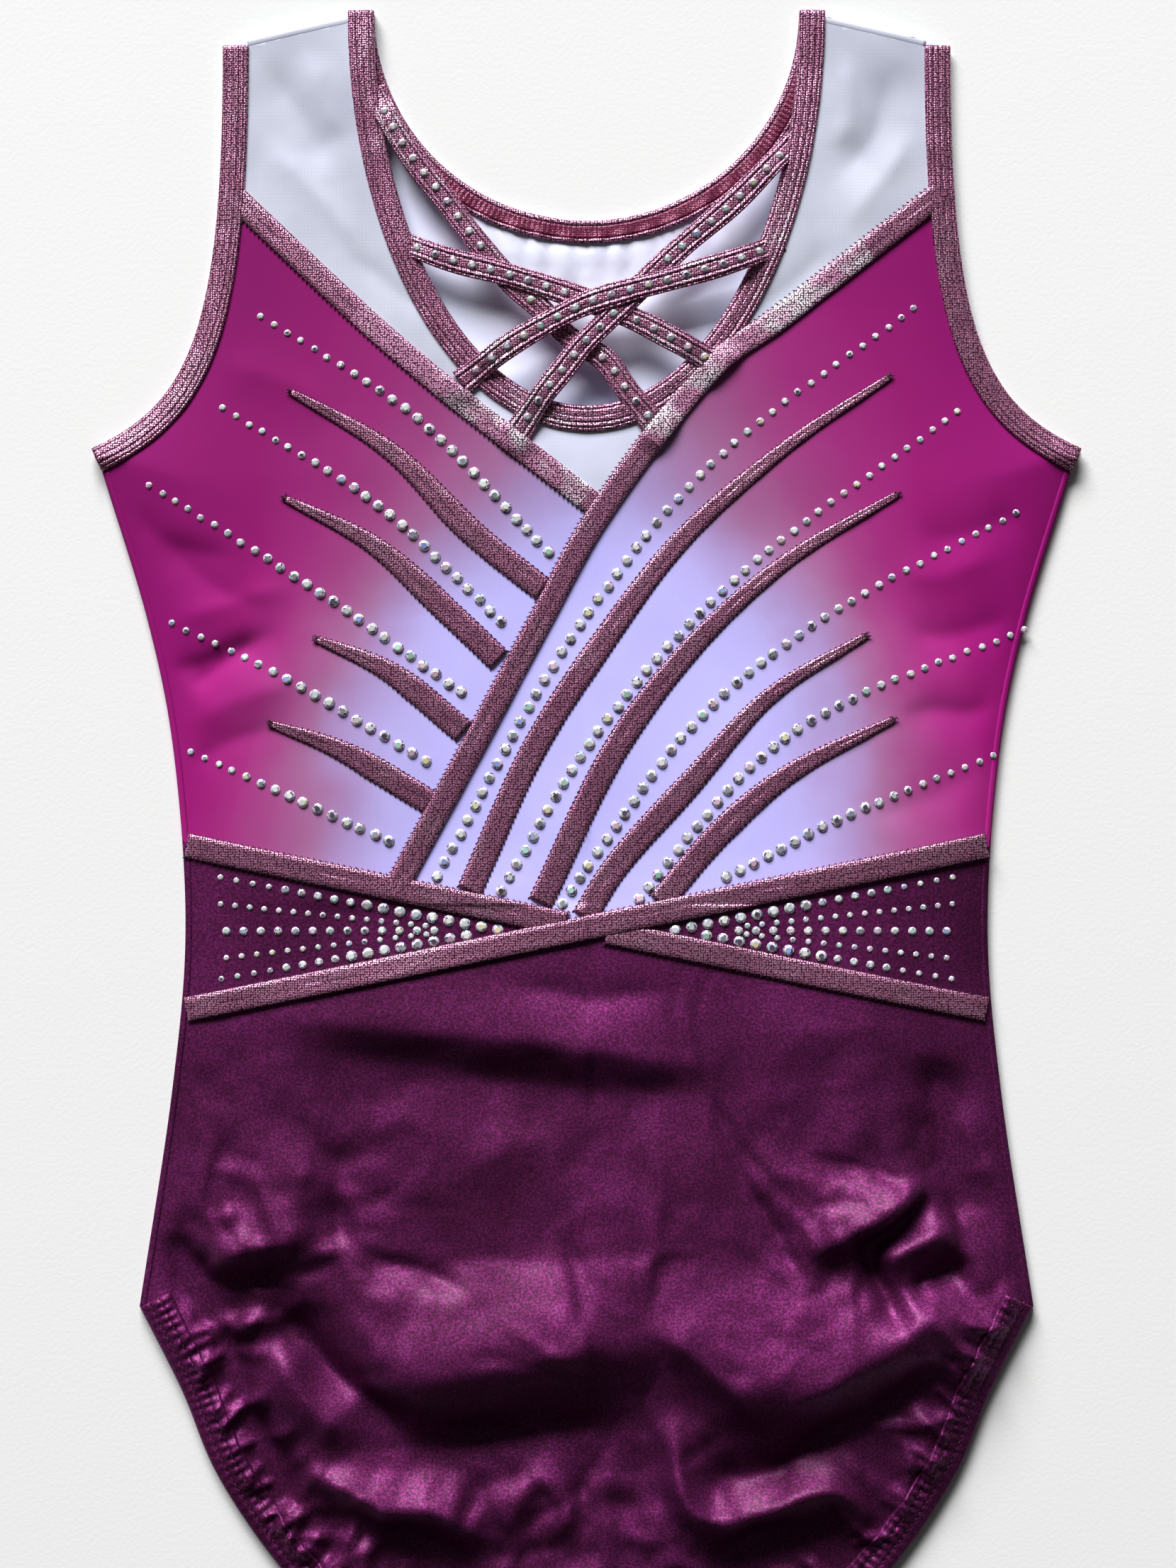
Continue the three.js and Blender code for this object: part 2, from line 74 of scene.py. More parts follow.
# %% Camera
VIEW_TALL = 540 * MM
VIEW_CENTRE = (0.5 * MM, 41.6 * MM)
CAMERA_HEIGHT = 0.95
camera_data = bpy.data.cameras.new("camera")
camera_data.sensor_width = 36
camera_data.lens = camera_data.sensor_width * CAMERA_HEIGHT / VIEW_TALL
camera = bpy.data.objects.new("camera", camera_data)
camera.location = (*VIEW_CENTRE, CAMERA_HEIGHT)
bpy.context.collection.objects.link(camera)
bpy.context.scene.camera = camera
print("lens", round(camera_data.lens, 1), "mm")

# %% [markdown]
# ## Sizes and lines of the pattern
# A garment is a set of lines on flat cloth: armholes, sides, legs, neck and seams. The frame's
# boxes give the sizes in millimetres, and each line is a smooth curve through a few of them.
# "Drop" is a distance down from the neck point of the shoulder, as a pattern cutter measures it.

# %% Sizes from the frame
def box_mm(node):
    low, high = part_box(node)
    return np.array(low) / MM, np.array(high) / MM


top = cad_box[1].y / MM
length = (cad_box[1].y - cad_box[0].y) / MM
chest_half = box_mm("armhole_binding_left")[1][0]
binding = 9.0
back_binding = 6.3
band = 8.5
hem = 12.0
below_armpit = 8.0
shoulder_half = box_mm("armhole_binding_left")[0][0] + binding
neck_half = box_mm("neck_binding_front")[1][0] - binding
front_neck_drop = top - box_mm("neck_binding_front")[0][1] - binding
back_neck_drop = top - box_mm("neck_binding_back")[0][1] - back_binding
waist_half = box_mm("waist_inset_left")[1][0]
waist_low = top - box_mm("waist_inset_left")[0][1]
waist_high = top - box_mm("waist_inset_left")[1][1]
waist_drop = (waist_low + waist_high) / 2
waist_spread = (waist_low - waist_high) / 2
hip_half = box_mm("front_brief")[1][0]
hip_drop = 445.0
crotch_half = box_mm("crotch_seam")[1][0]
armpit_drop = top - box_mm("armhole_binding_left")[0][1] - below_armpit
shoulder_slope = 12.0
v_drop = 60.0
apex_drop = front_neck_drop + 36.0
back_yoke_drop = top - box_mm("back_yoke")[0][1]
back_brief_drop = top - box_mm("back_brief")[1][1]
print("chest", round(2 * chest_half), "waist", round(2 * waist_half), "length", round(length))

# %% [markdown]
# A pattern cutter joins a few measured points with a springy curve. A Catmull-Rom curve does the
# same: it passes through every point, so a seam can be moved by moving one of them.

# %% Curves
def at(across, drop):
    return np.array([across, top - drop], float)


def mix(a, b, share):
    return a + (b - a) * share


def smooth(points, steps):
    """A Catmull-Rom curve through the points."""
    p = np.array(points, float)
    p = np.vstack([2 * p[0] - p[1], p, 2 * p[-1] - p[-2]])
    spans = len(p) - 3
    out = []
    for t in np.linspace(0, spans, steps):
        i = min(int(t), spans - 1)
        u = t - i
        a, b, c, d = p[i:i + 4]
        out.append(0.5 * (2 * b + (c - a) * u + (2 * a - 5 * b + 4 * c - d) * u**2
                          + (3 * b - a - 3 * c + d) * u**3))
    return np.array(out)


print("points of a test curve:", len(smooth([at(0, 0), at(10, 0), at(20, 5)], 30)))

# %% [markdown]
# Stitches, stones and tapes all run along lines, so the next helpers walk along a line by
# distance, step off it at a right angle, and mirror it from the left half to the right.

# %% Distances along a line
def arc_length(line):
    return np.concatenate([[0], np.cumsum(np.linalg.norm(np.diff(line, axis=0), axis=1))])


def read_along(line, distances):
    """The points of a line at these distances from its start."""
    s = arc_length(line)
    return np.column_stack([np.interp(distances, s, line[:, k]) for k in range(2)])


def stepped(line, step):
    """The line again, with points every step millimetres."""
    total = arc_length(line)[-1]
    return read_along(line, np.linspace(0, total, max(3, int(round(total / step)) + 1)))


def right_of(line):
    """Unit normals on the right-hand side of a line."""
    way = np.gradient(line, axis=0)
    way /= np.linalg.norm(way, axis=1)[:, None]
    return np.column_stack([way[:, 1], -way[:, 0]])


def mirrored(line):
    return (line * [-1, 1])[::-1]


def prolonged(line, before, after):
    """The line with a straight stretch added at each end."""
    start = line[0] + (line[0] - line[1]) / np.linalg.norm(line[0] - line[1]) * before
    end = line[-1] + (line[-1] - line[-2]) / np.linalg.norm(line[-1] - line[-2]) * after
    return np.vstack([start, line, end])


test_line = stepped(np.array([at(0, 0), at(30, 40)]), 5)
print("a 50 mm line in steps of 5 mm has", len(test_line), "points")

# %% [markdown]
# Now the lines themselves. The neck is half an ellipse, and the armhole is one Bezier curve that
# falls straight from the shoulder and turns out under the arm. The side swings in at the waist.
# Seam lines run on past the edges of the cloth, so that they cut it right through.

# %% The garment's own lines
PAST_EDGE = 30


def neck_line(drop):
    turn = np.linspace(math.pi, 2 * math.pi, 80)
    return np.column_stack([neck_half * np.cos(turn), top + drop * np.sin(turn)])


t = np.linspace(0, 1, 60)[:, None]
arm_line = ((1 - t)**3 * at(shoulder_half, shoulder_slope)
            + 3 * (1 - t)**2 * t * at(shoulder_half, mix(shoulder_slope, armpit_drop, 0.71))
            + 3 * (1 - t) * t**2 * at(mix(shoulder_half, chest_half, 0.25),
                                      mix(shoulder_slope, armpit_drop, 0.89))
            + t**3 * at(chest_half, armpit_drop))
side_start = arm_line[-1] + right_of(arm_line)[-1] * binding
side_start_drop = top - side_start[1]
side_line = smooth([
    side_start,
    at(mix(waist_half, side_start[0], 0.45), mix(side_start_drop, waist_drop, 0.33)),
    at(mix(waist_half, side_start[0], 0.14), mix(side_start_drop, waist_drop, 0.62)),
    at(waist_half, waist_drop),
    at(mix(waist_half, hip_half, 0.29), mix(waist_drop, hip_drop, 0.43)),
    at(hip_half, hip_drop)], 120)
leg_line = smooth([
    at(mix(crotch_half, hip_half, across), mix(hip_drop, length, down))
    for across, down in ((1, 0), (0.88, 0.17), (0.78, 0.34), (0.61, 0.52), (0.4, 0.68),
                         (0.13, 0.85), (0, 1))], 120)
front_neck = neck_line(front_neck_drop)
back_neck = neck_line(back_neck_drop)

wrap_top = at(shoulder_half, v_drop)
apex = at(0.03 * chest_half, apex_drop)
wrap_foot = at(-0.376 * chest_half, mix(apex_drop, waist_drop, 0.89))
wrap_line = prolonged(smooth([
    wrap_top,
    at(mix(apex[0], wrap_top[0], 0.52), mix(apex_drop, v_drop, 0.6)),
    at(mix(apex[0], wrap_top[0], 0.3), mix(apex_drop, v_drop, 0.42)),
    apex,
    at(mix(apex[0], wrap_foot[0], 0.31), mix(apex_drop, waist_drop, 0.27)),
    at(mix(apex[0], wrap_foot[0], 0.62), mix(apex_drop, waist_drop, 0.55)),
    wrap_foot], 121), PAST_EDGE, PAST_EDGE)
wrap_turn = int(np.argmin(np.linalg.norm(wrap_line - apex, axis=1)))
v_middle = at(-shoulder_half / 2, mix(v_drop, apex_drop, 0.52))
v_line = prolonged(smooth([at(-shoulder_half, v_drop), v_middle, apex], 40), PAST_EDGE, 0)
rising = np.array([at(-waist_half, waist_drop + waist_spread),
                   at(waist_half, waist_drop - waist_spread)])
rising = prolonged(rising, PAST_EDGE, PAST_EDGE)
falling = mirrored(rising)
print("side", round(arc_length(side_line)[-1]), "mm, leg", round(arc_length(leg_line)[-1]), "mm")

# %% [markdown]
# ## How high the front lies
# The front isn't flat: air and gathers lift it, the elastic pulls its edges down, and the satin
# brief falls in folds. A cloth simulation could make folds, but in places of its own choice. So
# all front pieces share one drawn height map, and tapes and stones sit on the cloth wherever it
# goes. Near an edge the cloth lies low, so the map first asks how far away the nearest edge is.

# %% Distances to the garment's edges
edge_lines = [arm_line, side_line, leg_line]
edge_points = np.vstack([stepped(line, 1.0) for line in edge_lines]
                        + [stepped(mirrored(line), 1.0) for line in edge_lines])
edge_tree = KDTree(len(edge_points))
for i, point in enumerate(edge_points):
    edge_tree.insert((*point, 0), i)
edge_tree.balance()


def nearest_edge(x, y):
    """For each place, how far away the nearest edge is."""
    found = [edge_tree.find((a, b, 0))[2] for a, b in zip(x.ravel(), y.ravel())]
    return np.array(found).reshape(x.shape)


print("edge points:", len(edge_points))

# %% [markdown]
# Two small tools shape everything soft in this lesson. A soft step goes from 0 to 1 without a
# corner. Lumps are smooth random values: a grid of random numbers, blended between its points.

# %% Soft steps and lumps
def soft_step(value, low, high):
    u = np.clip((value - low) / (high - low), 0, 1)
    return u * u * (3 - 2 * u)


LUMP_GRID = 400


def lumps(x, y, size, seed):
    """Smooth random lumps, about size millimetres across, from -1 to 1."""
    grid = np.random.default_rng(seed).uniform(-1, 1, (LUMP_GRID, LUMP_GRID))
    u, v = x / size, y / size
    i, j = np.floor(u).astype(int), np.floor(v).astype(int)
    a, b = u - i, v - j
    i, j = i % (LUMP_GRID - 1), j % (LUMP_GRID - 1)
    a, b = a * a * (3 - 2 * a), b * b * (3 - 2 * b)
    return ((grid[i, j] * (1 - a) + grid[i + 1, j] * a) * (1 - b)
            + (grid[i, j + 1] * (1 - a) + grid[i + 1, j + 1] * a) * b)


print("half way up a soft step:", soft_step(0.5, 0, 1))

# %% [markdown]
# A fold is a ridge or a valley along a path. Its cross-section is a bell with two widths, because
# real folds lean: one side is steep and the other is slack. It fades out at both ends.

# %% The shape of one fold
FOLD_STEP = 4.0


def fold_height(x, y, points, height, above, below):
    """A ridge (or a valley, if height is negative) that fades out at both ends of its path."""
    path = np.array([at(*p) for p in points])
    if len(points) > 2:
        path = smooth(path, 40)
    path = stepped(path, FOLD_STEP)
    s = arc_length(path)
    best = np.full(x.shape, 1e9)
    sign = np.zeros(x.shape)
    share = np.zeros(x.shape)
    for k in range(len(path) - 1):
        a, b = path[k], path[k + 1]
        d = b - a
        u = np.clip(((x - a[0]) * d[0] + (y - a[1]) * d[1]) / (d @ d), 0, 1)
        dx, dy = x - a[0] - u * d[0], y - a[1] - u * d[1]
        far = np.hypot(dx, dy)
        closer = far < best
        best = np.where(closer, far, best)
        side = dx * -d[1] + dy * d[0]
        sign = np.where(closer, side * (1 if d[0] >= 0 else -1), sign)
        share = np.where(closer, (s[k] + u * math.hypot(*d)) / s[-1], share)
    width = np.where(sign > 0, above, below)
    ends = soft_step(share, 0, 0.3) * soft_step(1 - share, 0, 0.3)
    return height * np.exp(-(best / width)**1.35) * (0.06 + 0.94 * ends)


one_fold = fold_height(np.zeros(1), np.array([top]), [(-20, 0), (20, 0)], 3.0, 8, 5)
print("middle of a 3 mm fold:", one_fold.round(2))

# %% [markdown]
# The folds are drawn in (across, drop) points. After the path come the height, the width on the
# shoulder side and the width on the leg side, all in millimetres. A negative height is a valley. The
# middle of the brief has the largest ones: one big fold runs over both hips, and smaller ones loop
# over the crotch.

# %% Folds over the middle of the brief
FOLDS = [
    # below the waist band
    ([(-118, 346), (-75, 349), (-37, 351), (0, 356), (25, 359), (52, 360)], 3.2, 18, 9),
    ([(-104, 356), (-66, 359), (-37, 364), (0, 370), (30, 372), (56, 371)], -1.8, 7, 20),
    ([(-30, 334), (0, 337), (34, 338)], -0.9, 5, 5),
    ([(50, 350), (80, 348), (112, 351)], 1.2, 14, 14),
    ([(-48, 400), (-32, 394), (-14, 387)], 0.9, 9, 9),
    ([(-88, 422), (-60, 428), (-20, 428), (21, 426)], -2.4, 20, 8),
    # the big fold over the hips and its branch to the left
    ([(-96, 476), (-80, 473), (-62, 470), (-37, 465), (-8, 457), (20, 452), (32, 455)],
     10.0, 32, 19),
    ([(18, 450), (34, 458), (50, 472), (60, 484)], 5.5, 20, 8),
    ([(46, 488), (68, 476), (86, 466), (112, 450), (131, 430)], 8.5, 22, 15),
    ([(-88, 494), (-55, 490), (-20, 486), (10, 484), (27, 482)], -4.0, 14, 12),
    ([(52, 502), (75, 493), (100, 478), (124, 456)], -4.5, 11, 10),
    # the loops over the crotch
    ([(28, 474), (31, 494), (35, 510), (46, 516), (61, 512), (78, 506), (91, 509), (104, 523)],
     6.5, 6, 6),
    ([(40, 503), (55, 503), (74, 495)], -3.0, 7, 6),
    ([(38, 532), (60, 526), (85, 528), (102, 538)], -6.0, 8, 11),
    ([(-101, 492), (-87, 504), (-74, 509), (-61, 513), (-45, 518), (-27, 530)], 6.0, 9, 6),
    ([(-76, 521), (-60, 525), (-46, 532), (-38, 545)], -5.0, 6, 9),
    ([(-29, 524), (-19, 505), (-9, 511), (-13, 530)], 3.0, 6, 6),
    ([(-30, 556), (0, 548), (30, 556)], 4.0, 12, 10),
    ([(-50, 568), (-10, 574), (34, 568)], -3.0, 9, 9),
]
print("folds over the middle:", len(FOLDS))

# %% [markdown]
# At each hip the satin was pushed together, so short, steep folds lie close beside each other.

# %% Folds at the hips
FOLDS += [
    # the right hip of the wearer
    ([(-114, 441), (-93, 459), (-73, 478), (-58, 492)], -7.0, 8, 9),
    ([(-110, 455), (-96, 473), (-78, 492)], 4.5, 10, 9),
    ([(-139, 406), (-135, 434), (-122, 464), (-109, 498), (-93, 522)], -6.0, 6, 7),
    ([(-92, 416), (-110, 422), (-131, 432)], 4.4, 10, 5),
    ([(-98, 432), (-114, 436), (-136, 441)], -3.4, 7, 9),
    ([(-122, 405), (-120, 415), (-113, 425)], 1.8, 4, 4),
    ([(-76, 424), (-58, 430), (-41, 438)], -1.6, 2.5, 4),
    ([(-81, 385), (-86, 408), (-82, 432)], -1.8, 6, 6),
    ([(-94, 390), (-99, 408), (-94, 428)], 1.6, 7, 7),
    # the left hip of the wearer
    ([(40, 370), (64, 417), (74, 436), (76, 449)], -1.6, 2.0, 3.0),
    ([(40, 370), (62, 398), (83, 420)], -1.1, 1.8, 2.6),
    ([(56, 388), (70, 408), (82, 432)], 1.3, 5, 5),
    ([(118, 399), (101, 412), (86, 420), (72, 425)], 4.2, 10, 4),
    ([(117, 408), (99, 421), (90, 427)], -4.0, 4, 6),
    ([(94, 423), (101, 437), (108, 452)], -4.5, 5, 5),
    ([(95, 430), (112, 423), (131, 416)], 4.2, 5, 6),
    ([(108, 438), (122, 433), (134, 428)], -6.0, 5, 9),
    ([(118, 352), (123, 396), (131, 430)], -4.6, 9, 7),
    ([(108, 372), (113, 392), (118, 408)], -1.6, 6, 5),
    ([(126, 446), (138, 449), (150, 452)], 2.0, 3, 3),
    ([(124, 462), (134, 464), (144, 470)], 1.8, 3, 3),
    # pressed creases at the middle, where the garment was folded in its bag
    ([(31, 326), (31, 350), (33, 371)], -0.5, 1.6, 1.6),
    ([(40, 326), (40, 350), (42, 371)], -0.5, 1.6, 1.6),
    ([(22, 380), (23, 415), (23, 446)], 1.0, 10, 1.8),
]
print("folds on the brief:", len(FOLDS))

# %% [markdown]
# The bodice and the yoke are stretch knit and mesh, which hold only soft dents. Satin holds deep
# folds, so the heights of the brief's folds and of these are scaled apart.

# %% Dents of the bodice and the yoke
FOLDS += [
    # soft dents of the bodice
    ([(-150, 226), (-128, 222), (-104, 212)], -1.8, 4, 7),
    ([(-146, 212), (-126, 206), (-100, 196)], 1.2, 6, 5),
    ([(-141, 262), (-124, 252), (-100, 246)], -1.0, 5, 6),
    ([(-160, 170), (-140, 186), (-118, 190)], -1.1, 5, 6),
    ([(152, 170), (132, 180), (112, 180)], -1.2, 5, 6),
    ([(146, 232), (128, 240), (106, 242)], -1.4, 5, 7),
    ([(-150, 180), (-128, 200), (-108, 206)], -1.6, 7, 7),
    ([(-136, 232), (-126, 225), (-112, 216)], -1.8, 4, 6),
    ([(-140, 246), (-118, 236), (-96, 232)], 1.0, 7, 6),
    ([(-128, 118), (-104, 128), (-84, 138)], 0.9, 8, 8),
    ([(150, 206), (128, 214), (104, 212)], -1.6, 8, 8),
    ([(146, 186), (126, 192), (104, 194)], 1.0, 8, 6),
    ([(138, 262), (118, 268), (96, 280)], -1.0, 7, 7),
    # the white yoke, drawn up between neck and armhole
    ([(-114, 18), (-100, 34), (-88, 60)], -1.5, 6, 8),
    ([(-112, 46), (-94, 62), (-74, 86)], 1.1, 5, 5),
    ([(-94, 12), (-90, 34), (-84, 46)], 1.0, 4, 5),
    ([(-82, 84), (-66, 96), (-50, 106)], -0.8, 4, 5),
    ([(108, 16), (98, 40), (86, 62)], -1.6, 7, 8),
    ([(114, 40), (102, 58), (88, 78)], 1.1, 6, 5),
    ([(92, 14), (90, 32), (84, 50)], 1.0, 4, 5),
    ([(86, 80), (70, 94), (52, 106)], -0.8, 4, 5),
]
BRIEF_FOLDS, BODICE_FOLDS = 1.55, 0.85
print("drawn folds:", len(FOLDS))


# %% [markdown]
# Elastic round the leg gathers the satin into short pleats that run inward from the edge. At the
# hips fine creases fan out from where the cloth was pushed together. There are too many to draw,
# so they are drawn at random, always with the same seed.

# %% Gathers and fine creases
def small_folds():
    """Gathers drawn up by the leg elastic, and fine creases that fan out from the hips."""
    rng = np.random.default_rng(23)
    folds = []
    for line in (leg_line, mirrored(leg_line)):
        starts = stepped(line, 4.6)
        inward_way = right_of(starts)
        for start, way in zip(starts[2:-3], inward_way[2:-3]):
            turn = rng.normal(0, 0.35)
            way = np.array([way[0] * math.cos(turn) - way[1] * math.sin(turn),
                            way[0] * math.sin(turn) + way[1] * math.cos(turn)])
            reach = rng.uniform(12, 34)
            a, b = start + way * 5, start + way * (8 + reach)
            wide = rng.uniform(1.5, 2.6)
            folds.append(([(a[0], top - a[1]), (b[0], top - b[1])], rng.uniform(0.7, 1.9),
                          wide, wide * 0.8))
    fans = (((-126, 430), 40, 2.35, 12), ((122, 408), 44, 0.9, 12), ((20, 470), 60, 1.6, 8))
    for centre, reach, spread, count in fans:
        for angle in rng.uniform(-spread, spread, count) + (math.pi if centre[0] > 0 else 0):
            near, far = rng.uniform(6, 14), rng.uniform(0.5, 1.0) * reach
            points = [(centre[0] + r * math.cos(angle + bend), centre[1] + r * math.sin(angle + bend))
                      for r, bend in ((near, 0), ((near + far) / 2, rng.normal(0, 0.12)),
                                      (near + far, rng.normal(0, 0.1)))]
            wide = rng.uniform(1.8, 3.6)
            folds.append((points, rng.choice([-1, 1]) * rng.uniform(0.4, 1.1), wide, wide))
    return folds


gathers = small_folds()
print("small folds:", len(gathers))

# %% [markdown]
# The height map is a grid of heights, 0.8 mm apart. It adds the air inside the garment, the
# folds, slow lumps, and on the satin a crumple of sharp creases. A fold is only added to the
# part of the grid that it reaches, because the whole grid has over 300,000 points.

# %% Grid and creases
GRID = 0.8
GRID_MARGIN = 6
grid_x = np.arange(-chest_half - GRID_MARGIN, chest_half + GRID_MARGIN, GRID)
grid_y = np.arange(-top - GRID_MARGIN, top + GRID_MARGIN, GRID)


def add_fold(height, points, size, above, below):
    """Adds one fold to the part of the map that it reaches."""
    near = 2.6 * max(above, below)
    across = [p[0] for p in points]
    up = [top - p[1] for p in points]
    i = np.searchsorted(grid_x, [min(across) - near, max(across) + near])
    j = np.searchsorted(grid_y, [min(up) - near, max(up) + near])
    x, y = np.meshgrid(grid_x[i[0]:i[1]], grid_y[j[0]:j[1]], indexing="ij")
    bent_x = x + 2.2 * lumps(x, y, 19, 7)
    bent_y = y + 2.2 * lumps(x, y, 17, 9)
    height[i[0]:i[1], j[0]:j[1]] += fold_height(bent_x, bent_y, points, size, above, below)


def crumple(x, y, size, seed):
    """Sharp creases: the zero lines of smooth lumps, bent by other lumps."""
    bent_x = x + 0.35 * size * lumps(x, y, 0.8 * size, seed + 1)
    bent_y = y + 0.35 * size * lumps(x, y, 0.7 * size, seed + 2)
    return np.minimum(np.abs(lumps(bent_x, bent_y, size, seed)), 0.5)


print("grid:", len(grid_x), "by", len(grid_y))

# %% [markdown]
# SWELL is how far the air lifts the middle of the front at each drop from the shoulder. It dies
# away over the last few centimetres before an edge. The crumple is strongest at the hips and
# toward the crotch.

# %% The height map
EDGE_HEIGHT = 2.3
SWELL_DROPS = [0, 60, 110, 160, 230, 290, 340, 400, 450, 500, 580, 614]
SWELL = [0.8, 2.2, 4.0, 5.2, 5.4, 4.6, 5.0, 6.5, 7.0, 3.6, 2.6, 0.5]


def height_map():
    """Height of the upper face of the front cloth over the whole garment, in millimetres."""
    x, y = np.meshgrid(grid_x, grid_y, indexing="ij")
    drop = top - y
    far = nearest_edge(x, y)
    folds = np.zeros(x.shape)
    for points, size, above, below in FOLDS + gathers:
        scale = BRIEF_FOLDS if points[0][1] > waist_drop else BODICE_FOLDS
        add_fold(folds, points, scale * size, above, below)
    height = np.interp(drop, SWELL_DROPS, SWELL) * (1 - np.exp(-far / 14))
    height += folds * soft_step(far, 1, 12)
    height += 0.35 * lumps(x, y, 26, 3) * soft_step(far, 4, 25)
    brief = soft_step(drop, waist_drop + 10, waist_drop + 60)
    height += brief * soft_step(far, 3, 20) * (0.5 * lumps(x, y, 15, 5) + 0.16 * lumps(x, y, 6, 4))
    hips = np.exp(-((drop - 430) / 40)**2) * soft_step(np.abs(x), 40, 90)
    crushed = brief * soft_step(far, 2, 10) * (0.35 + hips + soft_step(drop, 470, 520))
    height += crushed * (2.4 * crumple(x, y, 24, 71) - 2.1 * crumple(x, 0.8 * y, 17, 75)
                         + 1.0 * crumple(1.3 * x, y, 9, 79))
    return EDGE_HEIGHT + np.maximum(height, -0.4)


front_map = height_map()


def lift(x, y):
    """The height map read at any place."""
    u = np.clip((np.asarray(x, float) - grid_x[0]) / GRID, 0, len(grid_x) - 1.001)
    v = np.clip((np.asarray(y, float) - grid_y[0]) / GRID, 0, len(grid_y) - 1.001)
    i, j = u.astype(int), v.astype(int)
    a, b = u - i, v - j
    low = front_map[i, j] * (1 - a) + front_map[i + 1, j] * a
    high = front_map[i, j + 1] * (1 - a) + front_map[i + 1, j + 1] * a
    return low * (1 - b) + high * b


probe = lift(np.array([0.0, 0, 0, 30]), np.array([200.0, 50, -50, -140]))
print("heights of the front at the neck, chest, brief and hip fold:", probe.round(1))

# %% [markdown]
# ## Finishes
# Every finish is built from nodes, so it keeps its grain at any size. Nodes are long to write
# one by one, so these helpers make a node or a colour ramp, and link it, in one call.

# %% Helpers for node materials
def new_finish(name):
    material = bpy.data.materials.new(name)
    material.use_nodes = True
    tree = material.node_tree
    shader = tree.nodes["Principled BSDF"]
    place = tree.nodes.new("ShaderNodeTexCoord").outputs["Object"]
    return material, tree, shader, place


def node(tree, kind, inputs=(), **settings):
    made = tree.nodes.new(kind)
    for key, value in settings.items():
        setattr(made, key, value)
    for key, value in dict(inputs).items():
        if isinstance(value, bpy.types.NodeSocket):
            tree.links.new(value, made.inputs[key])
        else:
            made.inputs[key].default_value = value
    return made


def ramp(tree, value, stops):
    made = node(tree, "ShaderNodeValToRGB", {"Fac": value})
    elements = made.color_ramp.elements
    while len(elements) < len(stops):
        elements.new(0.5)
    for element, (place, colour) in zip(elements, stops):
        element.position = place
        element.color = (*colour, 1)
    return made.outputs["Color"]


print("node helpers:", new_finish.__name__, node.__name__, ramp.__name__)


# %% [markdown]
# The next helpers mix two colours, calculate with values, turn a pattern into bumps, and set the
# numbers that are the same all over a finish.

# %% Helpers for colour, sums and bumps
def blend_colour(tree, share, a, b, kind="MIX"):
    a, b = (v if isinstance(v, bpy.types.NodeSocket) else (*v, 1) for v in (a, b))
    made = node(tree, "ShaderNodeMix", {0: share, 6: a, 7: b}, data_type="RGBA", blend_type=kind)
    return made.outputs[2]


def bump(tree, shader, height, distance, strength):
    made = node(tree, "ShaderNodeBump", {"Height": height, "Strength": strength,
                                         "Distance": distance})
    tree.links.new(made.outputs["Normal"], shader.inputs["Normal"])


def math_node(tree, operation, a, b=0.0, c=0.0):
    return node(tree, "ShaderNodeMath", {0: a, 1: b, 2: c}, operation=operation).outputs[0]


def settle(shader, values):
    """Sets plain numbers on the shader's own sockets."""
    for socket, value in values.items():
        shader.inputs[socket].default_value = value


print("materials so far:", len(bpy.data.materials))

# %% [markdown]
# The tape is a plum knit printed with round foil dots under a millimetre apart. A Voronoi texture
# gives such dots: the distance to the nearest cell centre is small inside a dot and large between
# dots. In patches the foil is painted silvery, most of all on the ridges between the stitches:
# painted glints of the light. The inside of the neck tape is redder and darker.

# %% Foil-dot tape
DOT_PITCH = 0.80 * MM
GLINT_SILVER = (0.95, 0.88, 0.95)


def foil_tape(name, foil, knit, shine, painted_glint=0.0):
    material, tree, shader, place = new_finish(name)
    dots = node(tree, "ShaderNodeTexVoronoi", {"Vector": place, "Scale": 1 / DOT_PITCH,
                                               "Randomness": 0.5}, voronoi_dimensions="2D")
    mask = ramp(tree, dots.outputs["Distance"], [(0.37, (1, 1, 1)), (0.48, (0, 0, 0))])
    dome = ramp(tree, dots.outputs["Distance"], [(0.0, (1, 1, 1)), (0.5, (0, 0, 0))])
    worn = node(tree, "ShaderNodeTexNoise", {"Vector": place, "Scale": 420, "Detail": 2})
    glint = ramp(tree, dots.outputs["Color"], [(0.0, (0.75, 0.75, 0.75)), (1, (1.3, 1.3, 1.3))])
    # Patches where the foil is painted silver: painted glints of the light.
    patches = node(tree, "ShaderNodeTexNoise", {"Vector": place, "Scale": 75, "Detail": 2})
    painted_glint_patches = ramp(tree, patches.outputs["Fac"], [(0.5, (0, 0, 0)), (0.66, (1, 1, 1))])
    foil_colour = blend_colour(tree, math_node(tree, "MULTIPLY", painted_glint_patches, painted_glint), foil, GLINT_SILVER)
    foil_colour = blend_colour(tree, 1.0, foil_colour, glint, "MULTIPLY")
    share = math_node(tree, "MULTIPLY", mask, ramp(tree, worn.outputs["Fac"],
                                                    [(0.3, (0.55,) * 3), (0.5, (1, 1, 1))]))
    colour = blend_colour(tree, share, knit, foil_colour)
    tree.links.new(colour, shader.inputs["Base Color"])
    tree.links.new(math_node(tree, "MULTIPLY", share, shine), shader.inputs["Metallic"])
    tree.links.new(math_node(tree, "MULTIPLY_ADD", share, -0.30, 0.60), shader.inputs["Roughness"])
    bump(tree, shader, dome, 0.11 * MM, 0.9)
    return material


# The last number is how strongly the patches are painted silver as glints: a little on the plain
# tape, fully on the ridge foil.
foil = foil_tape("foil_tape", (0.66, 0.28, 0.46), (0.034, 0.002, 0.018), 0.75, 0.12)
foil_ridge_glint = foil_tape("foil_tape_ridge_glint", (0.74, 0.36, 0.56), (0.045, 0.003, 0.026), 0.3, 1.0)
foil_inside = foil_tape("foil_tape_inside", (0.26, 0.04, 0.11), (0.085, 0.003, 0.028), 0.2)
print("foil finishes:", foil.name, foil_ridge_glint.name, foil_inside.name)


